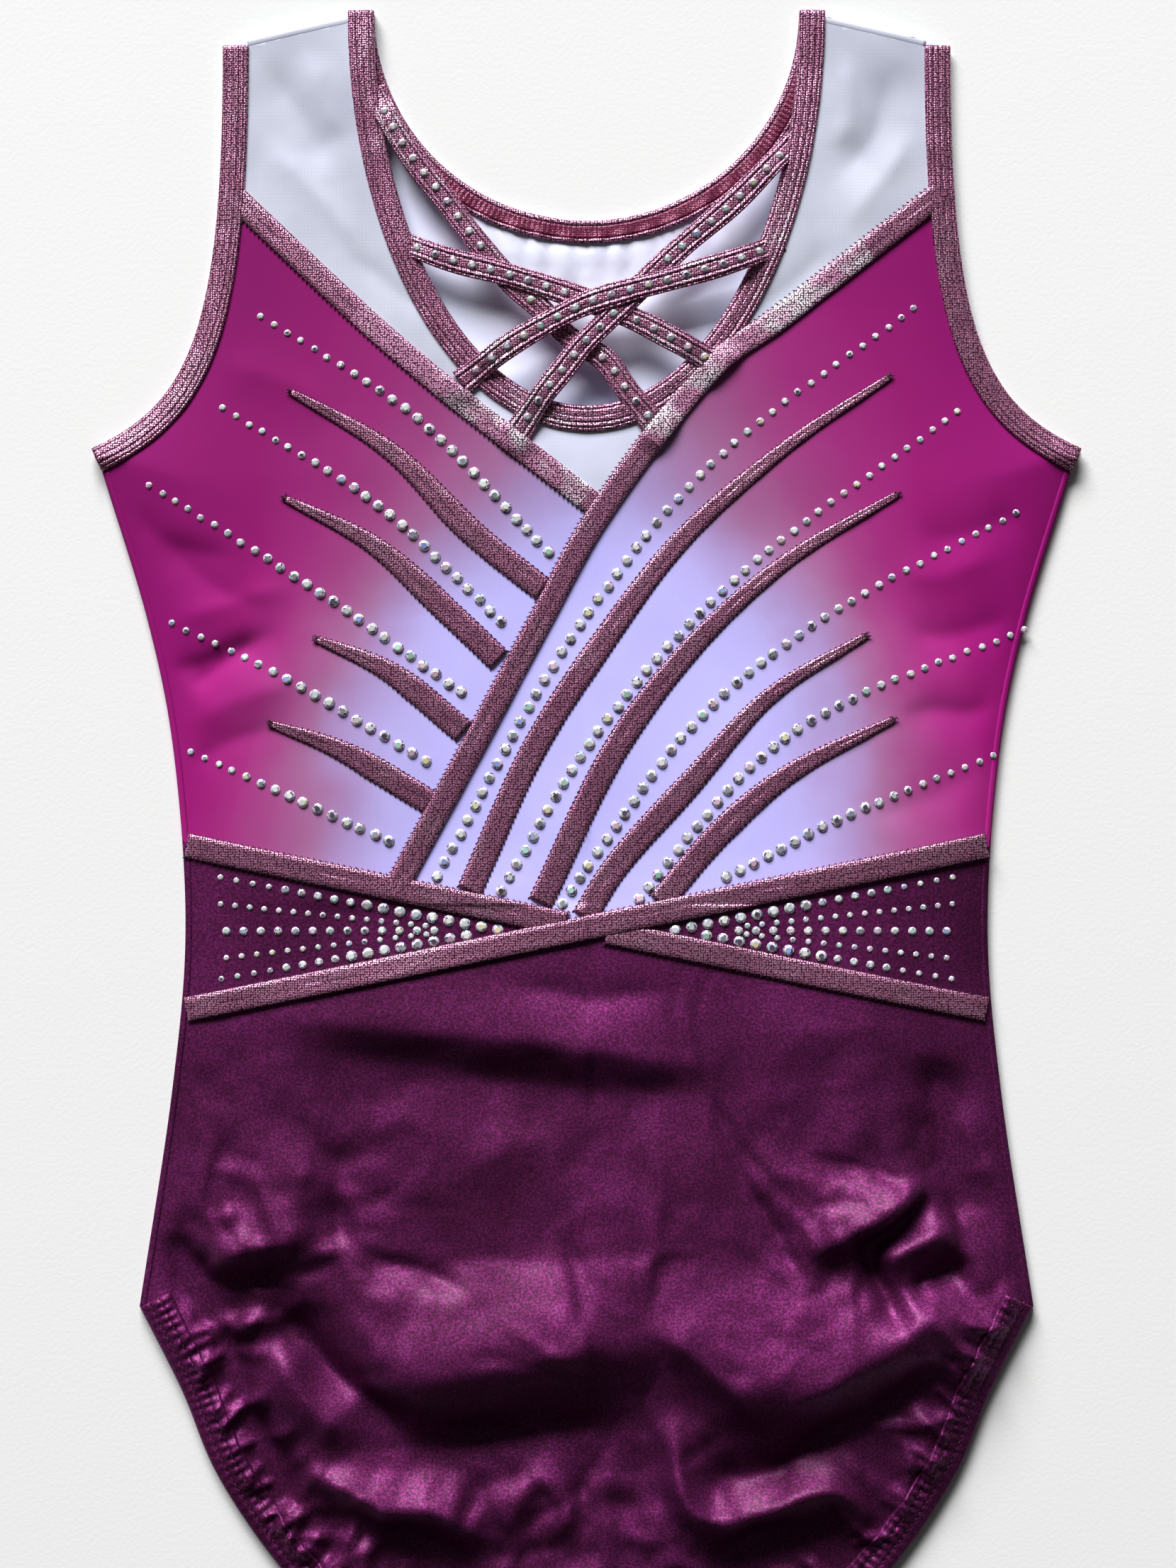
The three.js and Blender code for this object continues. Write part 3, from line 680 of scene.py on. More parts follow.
# %% [markdown]
# A knit or a weave shows as fine ribs both ways. Two crossed sine waves give them, one across
# and one along the cloth.

# %% Threads of a knit
def knit_threads(tree, place, across, along):
    parts = node(tree, "ShaderNodeSeparateXYZ", {"Vector": place})
    a = math_node(tree, "SINE", math_node(tree, "MULTIPLY", parts.outputs["X"],
                                          2 * math.pi / across))
    b = math_node(tree, "SINE", math_node(tree, "MULTIPLY", parts.outputs["Y"],
                                          2 * math.pi / along))
    return math_node(tree, "MULTIPLY", a, b)


print("threads are made by", knit_threads.__name__)

# %% [markdown]
# The bodice is a matte knit, printed magenta at the sides and lavender at the middle. The
# lavender field starts narrow under the neck and widens toward the waist, so PRINT gives its half
# width, the softness of its edge and its brightness at a few drops. A ramp carries the three
# numbers as red, green and blue. A noise bends the edge, because dye spreads a little unevenly.

# %% Ombre knit
PRINT = [  # drop, half width of the lavender, softness of its edge, all in mm, and brightness
    (100, 4, 50, 0.90), (150, 36, 50, 0.98), (172, 52, 40, 1.04), (190, 69, 30, 1.10),
    (210, 84, 23, 1.16), (240, 94, 24, 1.20), (290, 101, 26, 1.20)]
WIDEST, SOFTEST, BRIGHTEST = 120, 60, 1.3


def ombre(name):
    material, tree, shader, place = new_finish(name)
    parts = node(tree, "ShaderNodeSeparateXYZ", {"Vector": place})
    cloud = node(tree, "ShaderNodeTexNoise", {"Vector": place, "Scale": 30, "Detail": 3})
    drift = math_node(tree, "MULTIPLY_ADD", cloud.outputs["Fac"], 0.024, -0.015)
    x = math_node(tree, "ABSOLUTE", math_node(tree, "ADD", parts.outputs["X"], drift))
    first, last = PRINT[0][0], PRINT[-1][0]
    reach = (last - first) * MM
    down = math_node(tree, "MULTIPLY_ADD", parts.outputs["Y"], -1 / reach,
                     (top - first) * MM / reach)
    plan = ramp(tree, down, [((drop - first) / (last - first),
                              (wide / WIDEST, soft / SOFTEST, bright / BRIGHTEST))
                             for drop, wide, soft, bright in PRINT])
    plan = node(tree, "ShaderNodeSeparateColor", {"Color": plan})
    wide = math_node(tree, "MULTIPLY", plan.outputs[0], WIDEST * MM)
    soft = math_node(tree, "MULTIPLY", plan.outputs[1], SOFTEST * MM)
    past = math_node(tree, "DIVIDE", math_node(tree, "SUBTRACT", x, wide), soft)
    colour = ramp(tree, math_node(tree, "MULTIPLY_ADD", past, 0.2, 0.5), [
        (0.10, (0.50, 0.47, 0.86)), (0.26, (0.47, 0.42, 0.75)), (0.40, (0.40, 0.28, 0.52)),
        (0.50, (0.375, 0.165, 0.33)), (0.60, (0.37, 0.078, 0.255)), (0.70, (0.36, 0.033, 0.22)),
        (0.82, (0.325, 0.012, 0.185)), (0.96, (0.295, 0.007, 0.172))])
    # The print's brightness is multiplied by a factor that paints the bodice up to about 8% lighter
    # toward +X and darker toward -X: painted light.
    bright = math_node(tree, "MULTIPLY", math_node(tree, "MULTIPLY", plan.outputs[2], BRIGHTEST),
                       math_node(tree, "MULTIPLY_ADD", parts.outputs["X"], 0.5, 1.0))
    tree.links.new(blend_colour(tree, 1.0, colour, bright, "MULTIPLY"),
                   shader.inputs["Base Color"])
    settle(shader, {"Roughness": 0.62, "Sheen Weight": 0.08, "Sheen Roughness": 0.4,
                    "Specular IOR Level": 0.15})
    bump(tree, shader, knit_threads(tree, place, 0.55 * MM, 0.42 * MM), 0.03 * MM, 0.7)
    return material


magenta = ombre("magenta_ombre")
print("printed knit:", magenta.name)


# %% [markdown]
# The yoke is a white stretch mesh with pinholes about a millimetre apart, through which the darker
# layer behind shows as small dots. Mesh over mesh, as at the V, looks denser and lighter. The yoke is
# also painted darker, as painted shade of its folds, and the inside of the back is painted nearly
# plain white, as painted light against the shade in the neck opening, so one recipe makes three
# finishes.

# %% White mesh
def white_mesh(name, colour, shade, holes):
    material, tree, shader, place = new_finish(name)
    cloud = node(tree, "ShaderNodeTexNoise", {"Vector": place, "Scale": 30, "Detail": 3})
    # A noise mixes in a darker tone in soft blotches: painted shade of wrinkles.
    base = ramp(tree, cloud.outputs["Fac"], [(0.35, shade), (0.62, colour)])
    threads = knit_threads(tree, place, 0.95 * MM, 1.0 * MM)
    pin = ramp(tree, threads, [(0.55, (1, 1, 1)), (0.95, (holes,) * 3)])
    tree.links.new(blend_colour(tree, 1.0, base, pin, "MULTIPLY"), shader.inputs["Base Color"])
    settle(shader, {"Roughness": 0.7, "Specular IOR Level": 0.25, "Sheen Weight": 0.2})
    bump(tree, shader, threads, 0.05 * MM, -0.6)
    return material


# Painted shade darkens the yoke's finish, and painted light brightens the inside of the back.
mesh_cloth = white_mesh("white_mesh", (0.60, 0.62, 0.72), (0.50, 0.52, 0.62), 0.5)
insert_cloth = white_mesh("white_mesh_insert", (0.69, 0.71, 0.86), (0.60, 0.62, 0.75), 0.7)
yoke_inside = white_mesh("yoke_inside", (0.82, 0.85, 0.98), (0.74, 0.75, 0.92), 0.95)
print("mesh finishes:", mesh_cloth.name, insert_cloth.name, yoke_inside.name)


# %% [markdown]
# Stretch satin shows its shape by a broad glow: slopes toward the light shine, and slopes away
# go nearly black. A rough metallic lobe in the cloth's own colour does that, where a plain
# diffuse one would look like painted clay. A light coat adds the paler sheen on top.

# %% Plum satin
def satin(name):
    material, tree, shader, place = new_finish(name)
    grain = node(tree, "ShaderNodeTexNoise", {"Vector": place, "Scale": 1300, "Detail": 2,
                                              "Roughness": 0.7})
    cloud = node(tree, "ShaderNodeTexNoise", {"Vector": place, "Scale": 18, "Detail": 2})
    base = ramp(tree, cloud.outputs["Fac"], [(0.35, (0.122, 0.013, 0.084)),
                                             (0.65, (0.185, 0.023, 0.135))])
    speck = ramp(tree, grain.outputs["Fac"], [(0.42, (0.6, 0.56, 0.58)), (0.66, (1.55, 1.6, 1.6))])
    tree.links.new(blend_colour(tree, 1.0, base, speck, "MULTIPLY"), shader.inputs["Base Color"])
    rough = ramp(tree, grain.outputs["Fac"], [(0.35, (0.72,) * 3), (0.65, (0.62,) * 3)])
    tree.links.new(rough, shader.inputs["Roughness"])
    settle(shader, {"Metallic": 0.85, "Coat Weight": 0.22, "Coat Roughness": 0.42})
    bump(tree, shader, grain.outputs["Fac"], 0.06 * MM, 0.6)
    return material


plum = satin("plum_satin")
print("satin:", plum.name)


# %% [markdown]
# Thread is a twist of fibres, so a wave texture of turns runs through it, as bumps and as a colour
# that is darker between the turns: painted shade.

# %% Thread
def thread(name, colour):
    material, tree, shader, place = new_finish(name)
    twist = node(tree, "ShaderNodeTexWave", {"Vector": place, "Scale": 900, "Distortion": 1.5})
    # The colour is darker in the hollows between the turns: painted shade.
    tone = ramp(tree, twist.outputs["Fac"], [(0.2, tuple(0.55 * c for c in colour)),
                                             (0.8, colour)])
    tree.links.new(tone, shader.inputs["Base Color"])
    settle(shader, {"Roughness": 0.55})
    bump(tree, shader, twist.outputs["Fac"], 0.04 * MM, 0.6)
    return material


plum_thread = thread("plum_thread", (0.055, 0.006, 0.03))
pink_thread = thread("pink_thread", (0.10, 0.014, 0.065))
print("threads:", plum_thread.name, pink_thread.name)


# %% [markdown]
# The lining is a soft, pale knit with hardly any shine.

# %% Lining
def lining_cloth(name):
    material, tree, shader, place = new_finish(name)
    threads = knit_threads(tree, place, 0.6 * MM, 0.8 * MM)
    # The colour is a little darker in the grooves between the ribs: painted shade.
    tree.links.new(ramp(tree, threads, [(0.2, (0.74, 0.70, 0.71)), (0.9, (0.84, 0.80, 0.81))]),
                   shader.inputs["Base Color"])
    settle(shader, {"Roughness": 0.85})
    bump(tree, shader, threads, 0.05 * MM, 0.5)
    return material


lining = lining_cloth("lining")
print("lining:", lining.name)


# %% [markdown]
# The stones are clear glass with a rainbow coat, so each facet shows another tint. Real glass would
# need many light paths to sparkle when it is this small. So the sparkle is painted: reflections and
# rainbow tints are stored on the facets of the mesh, and a shiny finish reads them.

# %% Crystal
def crystal_glass(name):
    material, tree, shader, _ = new_finish(name)
    tint = node(tree, "ShaderNodeAttribute", attribute_name="facet").outputs["Color"]
    tree.links.new(tint, shader.inputs["Base Color"])
    settle(shader, {"Metallic": 0.3, "Roughness": 0.1, "Coat Weight": 1.0, "Coat Roughness": 0.02})
    return material


crystal = crystal_glass("crystal")
print("finishes:", len(bpy.data.materials))

# %% [markdown]
# ## Making a piece
# Every piece becomes a mesh from points and faces. It then rides on the garment's one body, gets its
# finish, and hides the frame's plain solids that it stands in for.

# %% Mesh helpers
def make_piece(name, points, faces, materials, nodes, face_material=None, smooth_shade=True):
    """A mesh object from points in millimetres, riding on the garment's one body."""
    mesh = bpy.data.meshes.new(name)
    mesh.from_pydata([tuple(p * MM) for p in np.asarray(points, float)], [],
                     [tuple(int(i) for i in f) for f in faces])
    for material in materials:
        mesh.materials.append(material)
    if face_material is not None:
        mesh.polygons.foreach_set("material_index", np.asarray(face_material, np.int32))
    mesh.polygons.foreach_set("use_smooth", [smooth_shade] * len(mesh.polygons))
    mesh.update()
    piece = bpy.data.objects.new(name, mesh)
    bpy.context.collection.objects.link(piece)
    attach(piece, "root")
    if nodes:
        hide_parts(*nodes)
    return piece


def inside(points, polygon):
    """Which points lie inside a closed outline."""
    x, y = points[:, 0], points[:, 1]
    hit = np.zeros(len(points), bool)
    for a, b in zip(polygon, np.roll(polygon, -1, axis=0)):
        crosses = (a[1] > y) != (b[1] > y)
        with np.errstate(divide="ignore", invalid="ignore"):
            cut = (b[0] - a[0]) * (y - a[1]) / (b[1] - a[1]) + a[0]
        hit ^= crosses & (x < cut)
    return hit


square = np.array([(0, 0), (1, 0), (1, 1), (0, 1)])
print("inside a square:", inside(np.array([(0.5, 0.5), (2, 0.5)]), square))

# %% [markdown]
# ## Cutting the cloth
# The front is laid as one sheet of small triangles that follow every edge and seam line, and is
# then cut along the seams into its panels. A constrained Delaunay triangulation does this: it
# fills an outline with triangles and keeps the given lines as edges. Near the legs the triangles
# are finer, because the gathers there are narrow.

# %% Triangles in an outline
ROW_SHARE = 0.866


def cut_cloth(outline, seams, coarse, fine_near=None, fine=1.2, fine_reach=18):
    """Triangles that fill the outline and follow the seams: places (n, 2) and faces (m, 3)."""
    outline = stepped(np.vstack([outline, outline[:1]]), coarse)[:-1]
    points = [outline]
    edges = [(i, (i + 1) % len(outline)) for i in range(len(outline))]
    start = len(outline)
    for seam in seams:
        line = stepped(seam, coarse)
        points.append(line)
        edges += [(start + i, start + i + 1) for i in range(len(line) - 1)]
        start += len(line)
    fixed = np.vstack(points)
    tree = KDTree(len(fixed))
    for i, p in enumerate(fixed):
        tree.insert((*p, 0), i)
    tree.balance()
    low, high = outline.min(axis=0), outline.max(axis=0)
    rng = np.random.default_rng(11)
    filled = []
    for step in ([coarse, fine] if fine_near is not None else [coarse]):
        columns = np.arange(low[0], high[0], step)
        rows = np.arange(low[1], high[1], step * ROW_SHARE)
        gx, gy = np.meshgrid(columns, rows)
        gx = gx + (np.arange(len(rows)) % 2)[:, None] * step / 2
        grid = np.column_stack([gx.ravel(), gy.ravel()])
        grid += rng.uniform(-0.08, 0.08, grid.shape) * step
        grid = grid[inside(grid, outline)]
        if fine_near is not None:
            near = fine_near(grid, fine_reach)
            grid = grid[near if step == fine else ~near]
        keep = [tree.find((*p, 0))[2] > 0.6 * step for p in grid]
        filled.append(grid[np.array(keep)])
    everything = np.vstack([fixed, *filled])
    made = delaunay_2d_cdt([Vector(p) for p in everything], edges, [], 0, 1e-5)
    places = np.array([tuple(v) for v in made[0]])
    faces = np.array(made[2])
    centres = places[faces].mean(axis=1)
    return places, faces[inside(centres, outline)]


print("rows of triangles lie", ROW_SHARE, "of a step apart")

# %% [markdown]
# A panel is one cut of cloth. Its flat triangles are lifted to their height, and the Solidify
# modifier gives them the cloth's thickness downward.

# %% One cut of cloth
CLOTH = 0.45


def panel(name, places, faces, height, finish, nodes, thickness=CLOTH):
    """One cut of cloth: its triangles, lifted to their height and given the cloth's thickness."""
    used, packed = np.unique(faces, return_inverse=True)
    flat = places[used]
    faces = packed.reshape(faces.shape)
    a, b, c = (flat[faces[:, k]] for k in range(3))
    areas = 0.5 * ((b[:, 0] - a[:, 0]) * (c[:, 1] - a[:, 1])
                   - (b[:, 1] - a[:, 1]) * (c[:, 0] - a[:, 0]))
    faces = np.where((areas < 0)[:, None], faces[:, ::-1], faces)
    points = np.column_stack([flat, height(flat[:, 0], flat[:, 1])])
    piece = make_piece(name, points, faces, [finish], nodes)
    solid = piece.modifiers.new("thickness", "SOLIDIFY")
    solid.thickness = thickness * MM
    solid.offset = -1
    size = (flat.max(axis=0) - flat.min(axis=0)) * MM
    area = float(np.abs(areas).sum()) * MM * MM
    area = min(area, float(size[0] * size[1]))
    print(name, len(faces), "triangles,", round(area * 1e4), "cm2")
    return piece


print("cloth is", CLOTH, "mm thick")

# %% [markdown]
# The whole front is triangulated once, so neighbouring panels share the same points along their
# seam and no gap can open. Each triangle is then given to a panel by where its middle lies.

# %% The front as one sheet
FRONT_STEP, BACK_STEP, LINING_STEP = 2.1, 3.0, 4.0


def outline_of(neck):
    return np.vstack([neck, arm_line[:-1], side_line, leg_line, mirrored(leg_line),
                      mirrored(side_line), mirrored(arm_line)[1:]])


def near_legs(points, reach):
    return np.array([edge_tree.find((*p, 0))[2] < reach for p in points]) & (
        points[:, 1] < top - hip_drop)


seam_lines = [wrap_line, v_line, rising, falling]
places, faces = cut_cloth(outline_of(front_neck), seam_lines, FRONT_STEP, near_legs)
middle = places[faces].mean(axis=1)
print("front triangles:", len(faces))

# %% [markdown]
# Two waist lines cross at the middle: the bodice is above both, the brief is below both, and the
# plum insets lie between them at the sides. The mesh is above the V. The wrap line parts the
# bodice, because the wearer's left side is wrapped over the right.

# %% The front panels
wide, tall = chest_half + 60, top + 60
crossing = at(0, waist_drop)
above_waist = inside(middle, np.array([falling[0], crossing, rising[-1], (wide, tall),
                                       (-wide, tall)]))
below_waist = inside(middle, np.array([rising[0], crossing, falling[-1], (wide, -tall),
                                       (-wide, -tall)]))
above_v = inside(middle, np.vstack([v_line, wrap_line[:wrap_turn + 1][::-1], [(wide, tall)],
                                    [(-wide, tall)]]))
right_of_wrap = inside(middle, np.vstack([[(-wide, tall)], v_line, wrap_line[wrap_turn:],
                                          [(-wide, -tall)]]))
insert_half = 0.24 * chest_half
insert_here = np.abs(middle[:, 0]) < insert_half
yoke = above_v & ~insert_here
bodice = above_waist & ~above_v
inset = ~above_waist & ~below_waist
PANELS = [
    ("front_yoke_right", yoke & (middle[:, 0] < 0), mesh_cloth, "white_mesh", "back_yoke"),
    ("front_yoke_left", yoke & (middle[:, 0] > 0), mesh_cloth, "white_mesh", "back_yoke"),
    ("front_v_insert", above_v & insert_here, insert_cloth, "white_mesh", "back_yoke"),
    ("front_bodice_right", bodice & right_of_wrap, magenta, "magenta_ombre", "back_bodice"),
    ("front_bodice_left", bodice & ~right_of_wrap, magenta, "magenta_ombre", "back_bodice"),
    ("waist_inset_right", inset & (middle[:, 0] < 0), plum, "plum_satin", "back_brief"),
    ("waist_inset_left", inset & (middle[:, 0] > 0), plum, "plum_satin", "back_brief"),
    ("front_brief", below_waist, plum, "plum_satin", "back_brief"),
]
for name, chosen, finish, slot, under in PANELS:
    panel(name + "_cloth", places, faces[chosen], lift, finish, [name])

# %% [markdown]
# ## The back
# The back lies on the table with its inside up. Through the neck opening its white inside shows,
# with the small dents that elastic leaves.

# %% The back's height
BACK_HEIGHT = 0.75
NECK_PUCKER = 9.0


def back_height(x, y):
    drop = top - y
    dents = soft_step(drop, back_neck_drop - 30, back_neck_drop + 15) * soft_step(
        -drop, -back_yoke_drop, -back_yoke_drop + 30)
    here = 0.6 * np.maximum(lumps(x, y, 7, 21), 0) + 0.9 * np.maximum(lumps(x, y, 17, 22), -0.1)
    neck_edge = back_neck_drop * np.sqrt(np.maximum(1 - (x / neck_half)**2, 0))
    below = drop - neck_edge
    gathered = soft_step(below, 3, 9) * (1 - soft_step(below, 12, 26))
    wave = np.sin(x * math.tau / NECK_PUCKER + 1.4 * lumps(x, y, 14, 24))
    return (BACK_HEIGHT + dents * np.exp(-(x / 52)**4) * here
            + 0.55 * gathered * (1 + wave) * np.exp(-(x / 62)**4))


print("the back lies", BACK_HEIGHT, "mm up, puckered every", NECK_PUCKER, "mm at the neck")

# %% [markdown]
# The back has no wrap and no V, only a yoke, a bodice and a brief with straight seams between.

# %% The back panels
def level_line(drop):
    return np.array([at(-200, drop), at(200, drop)])


back_places, back_faces = cut_cloth(
    outline_of(back_neck), [level_line(back_yoke_drop), level_line(back_brief_drop)], BACK_STEP)
back_drop = top - back_places[back_faces].mean(axis=1)[:, 1]
BACK_PANELS = [
    ("back_yoke", 0, back_yoke_drop, yoke_inside, "white_mesh"),
    ("back_bodice", back_yoke_drop, back_brief_drop, magenta, "magenta_ombre"),
    ("back_brief", back_brief_drop, length, plum, "plum_satin"),
]
for name, above, below, finish, slot in BACK_PANELS:
    chosen = (back_drop > above) & (back_drop < below)
    panel(name + "_cloth", back_places, back_faces[chosen], back_height, finish, [name])

# %% [markdown]
# The crotch is lined. The lining lies on the inside of the back brief, narrow at the crotch seam
# and wider up the back, as such linings are cut.

# %% The crotch lining
LINING_LIFT, LINING_CLOTH = 0.7, 0.4


def lining_height(x, y):
    return np.full(x.shape, BACK_HEIGHT + LINING_LIFT)


lining_low, lining_high = box_mm("gusset_lining")
LINING_ROWS = np.linspace(0, 1, 30)
lining_half = (lining_high[0] - lining_low[0]) / 2
lining_side = np.column_stack([lining_half * (0.42 + 0.58 * LINING_ROWS**1.4),
                               mix(lining_low[1] + 1, lining_high[1] - 1, LINING_ROWS)])
lining_places, lining_faces = cut_cloth(np.vstack([lining_side, mirrored(lining_side)]), [],
                                        LINING_STEP)
panel("gusset_lining_cloth", lining_places, lining_faces, lining_height, lining,
      ["gusset_lining"], LINING_CLOTH)

# %% [markdown]
# ## Tapes, bindings and hems
# Tapes and seams are long closed shapes. They are made from lines of points that run side by
# side along the route, joined into faces all round and closed at both ends. Blender then turns
# every face outward.

# %% A closed shape along a route
def closed_tube(name, rings, kind_of, finishes, slot, nodes):
    """A closed shape from lines of points side by side. kind_of picks each face's finish."""
    points = np.stack(rings, axis=1)
    n, m = points.shape[:2]
    faces, kinds = [], []
    for i in range(n - 1):
        for j in range(m):
            k = (j + 1) % m
            faces.append((i * m + j, i * m + k, (i + 1) * m + k, (i + 1) * m + j))
            kinds.append(kind_of(i, j))
    faces += [tuple(range(m))[::-1], tuple((n - 1) * m + j for j in range(m))]
    kinds += [kinds[0], kinds[-1]]
    piece = make_piece(name, points.reshape(-1, 3), faces, finishes, nodes, kinds)
    outward = bmesh.new()
    outward.from_mesh(piece.data)
    bmesh.ops.recalc_face_normals(outward, faces=outward.faces)
    outward.to_mesh(piece.data)
    outward.free()


print("ready:", closed_tube.__name__)

# %% [markdown]
# A tape is one closed outline, swept along its route. Each point of the outline has a share of
# the half width (across), and a height above the cloth (up). The height map is read under every
# point, so the tape bends with the cloth in both directions.

# %% Sweeping
def sweep(name, route, half_width, profile, base, finishes, slot, nodes, step=1.2, face_kinds=None,
          ripple=None):
    """A closed outline swept along a route. half_width and ripple may change along the way."""
    route = stepped(route, step)
    along = arc_length(route)
    side = right_of(route)
    half = half_width(along / along[-1]) if callable(half_width) else np.full(len(route), half_width)
    rings = []
    for across, up in profile:
        place = route + side * (across * half)[:, None]
        z = base(place[:, 0], place[:, 1], along) + up
        if ripple is not None:
            z = z + ripple(along, across)
        rings.append(np.column_stack([place, z]))
    closed_tube(name, rings, lambda i, j: face_kinds(j, i / len(route)) if face_kinds else 0,
                finishes, slot, nodes)


def on_cloth(offset):
    return lambda x, y, along: lift(x, y) + offset


print("a sweep reads the cloth's height, here", on_cloth(0.0)(0.0, 0.0, 0.0).round(1), "mm")

# %% [markdown]
# A tape's outline is flat on top with rounded edges. Each row of stitches presses a groove into
# it, and padding raises a ridge. No tape is quite even, so small waves run along it.

# %% Outlines of tapes
def rounded(rise, grooves=(), ridges=(), count=33, floor=-0.15):
    """The outline of a tape: rounded edges, with lengthwise grooves and ridges."""
    across = np.linspace(-1, 1, count)
    up = rise * (1 - np.abs(across)**7)**0.5
    for place, depth, width in grooves:
        up = up - depth * np.exp(-((across - place) / width)**2)
    for place, height, width in ridges:
        up = up + height * np.exp(-((across - place) / width)**2)
    return [(-1, floor)] + list(zip(across, np.maximum(up, 0.02))) + [(1, floor)]


def uneven(size, length, seed):
    """Small waves along a tape, unlike on its two edges."""
    return lambda along, across: size * lumps(along, along * 0 + 3 * across, length, seed)


print("points round a tape:", len(rounded(1.0)))

# %% [markdown]
# The neck and armholes are bound: a foil tape is folded round the raw edge with elastic inside,
# and rows of stitches press four lengthwise grooves into it. The back halves of the same loops
# lie under the front ones, on the table.

# %% Neck and armhole bindings
SNUG = 0.05
GROOVES = [(-0.66, 0.30, 0.07), (-0.12, 0.22, 0.06), (0.34, 0.42, 0.07), (0.72, 0.30, 0.06)]
binding_outline = rounded(1.25, GROOVES, count=45)
back_binding_outline = rounded(0.95, GROOVES)


def inward(line, distance):
    return line + right_of(line) * distance


def low_down(height):
    return lambda x, y, along: np.full(x.shape, height)


# The ridges over the middle of the front neck binding get the silvery ridge foil: a painted glint.
sweep("neck_binding_front_tape", inward(front_neck, binding / 2), binding / 2, binding_outline,
      on_cloth(SNUG), [foil, foil_ridge_glint], "foil_tape", ["neck_binding_front"],
      face_kinds=lambda j, share: int(0.4 < share < 0.8 and j in (17, 18, 27, 28, 33, 34)),
      ripple=uneven(0.16, 7, 31))
for side, line in (("left", arm_line), ("right", mirrored(arm_line))):
    node_name = "armhole_binding_" + side
    sweep(node_name + "_tape", inward(line, binding / 2), binding / 2, binding_outline,
          on_cloth(SNUG), [foil], "foil_tape", [node_name], ripple=uneven(0.16, 7, 32))
    sweep(node_name + "_back", inward(line, binding / 2 + 0.3), binding / 2, back_binding_outline,
          low_down(0.2), [foil], "foil_tape", [node_name])
print("front bindings:", binding, "mm wide")

# %% [markdown]
# Through the neck opening the back binding shows its inside: redder, ribbed across by the
# stitches that hold the elastic, and stitched along both edges.

# %% The back neck binding
NECK_RIB = 1.8
inner_groove = rounded(1.0, [(-0.5, 0.35, 0.07), (0.62, 0.35, 0.07)])
sweep("neck_binding_back_tape", inward(back_neck, 3.9), 3.9, inner_groove,
      lambda x, y, along: back_height(x, y) + 0.5, [foil, foil_inside], "foil_tape",
      ["neck_binding_back"], step=0.45,
      face_kinds=lambda j, share: int(9 <= j <= 27),
      ripple=lambda along, across: 0.12 * (abs(across) < 0.5) * np.sin(along * math.tau / NECK_RIB))
print("one rib every", NECK_RIB, "mm")

# %% [markdown]
# The bands lie flat over the seams of the bodice. The wrap band covers the end of the other V
# band, and one waist band runs over the other where they cross.

# %% Routes of the bands
BAND_START = PAST_EDGE + 4
PAST_APEX, PAST_WAIST, SIDE_GAP, CROSSING_GAP = 1, 6, 0.4, 6.0


def part_of(line, start, end):
    """The stretch of a line between two distances from its start."""
    return read_along(line, np.linspace(start, end, 160))


v_route = part_of(v_line, BAND_START, arc_length(v_line)[-1] + PAST_APEX)
wrap_route = part_of(wrap_line, BAND_START, arc_length(wrap_line)[-1] - PAST_EDGE + PAST_WAIST)
over_route = np.array([at(-waist_half + SIDE_GAP, waist_low), at(waist_half - SIDE_GAP, waist_high)])
under_points = stepped(over_route * [-1, 1], 1.0)
under_left = under_points[under_points[:, 0] > CROSSING_GAP]
under_right = under_points[under_points[:, 0] < -CROSSING_GAP]
print("wrap band", round(arc_length(wrap_route)[-1]), "mm long")

# %% [markdown]
# The feet of the straps are caught under the bands, so a band rises a little over each foot.
# Near the V the bands tilt toward the light, so there the silvery ridge foil is used as a painted
# glint.

# %% Bands over the seams
flat_tape = rounded(0.8, [(-0.8, 0.10, 0.06), (0.8, 0.10, 0.06)], count=25)
BANDS = [
    ("v_band_right", v_route, 0.1),
    ("wrap_band_left", wrap_route, 0.5),
    ("waist_band_under_left", under_left, 0.5),
    ("waist_band_under_right", under_right, 0.5),
    ("waist_band_over", over_route, 0.9),
]
STRAP_FEET = [(25.5, 145), (46.5, 123), (-24, 146), (-43, 128.5)]
# Shares of each band's length that get the silvery ridge foil: a painted glint.
GLINT_SHARES = {"v_band_right": (0.35, 0.95), "wrap_band_left": (0.1, 0.42)}


def over_straps(offset):
    """On the cloth, but raised where the foot of a strap is sewn under the band."""
    def base(x, y, along):
        feet = sum(np.exp(-(np.hypot(x - a, y - (top - d)) / 7)**4) for a, d in STRAP_FEET)
        return lift(x, y) + offset + 1.3 * np.minimum(feet, 1)
    return base


for number, (name, route, offset) in enumerate(BANDS):
    glint_from, glint_to = GLINT_SHARES.get(name, (1, 0))
    sweep(name + "_tape", route, band / 2 - 0.1, flat_tape, over_straps(offset),
          [foil, foil_ridge_glint], "foil_tape", [name],
          face_kinds=lambda j, share: int(glint_from < share < glint_to),
          ripple=uneven(0.1, 9, 40 + number))
print("bands:", len(BANDS))


# %% [markdown]
# Stitches are small spindles of thread. A chain of them runs along every sewn edge: dark and
# slanted beside the bands and rays, pink and straight in two rows on the leg hems.

# %% Spindles of thread
SPINDLE_SIDES = 6
SPINDLE_POINTS = 2 * SPINDLE_SIDES + 2


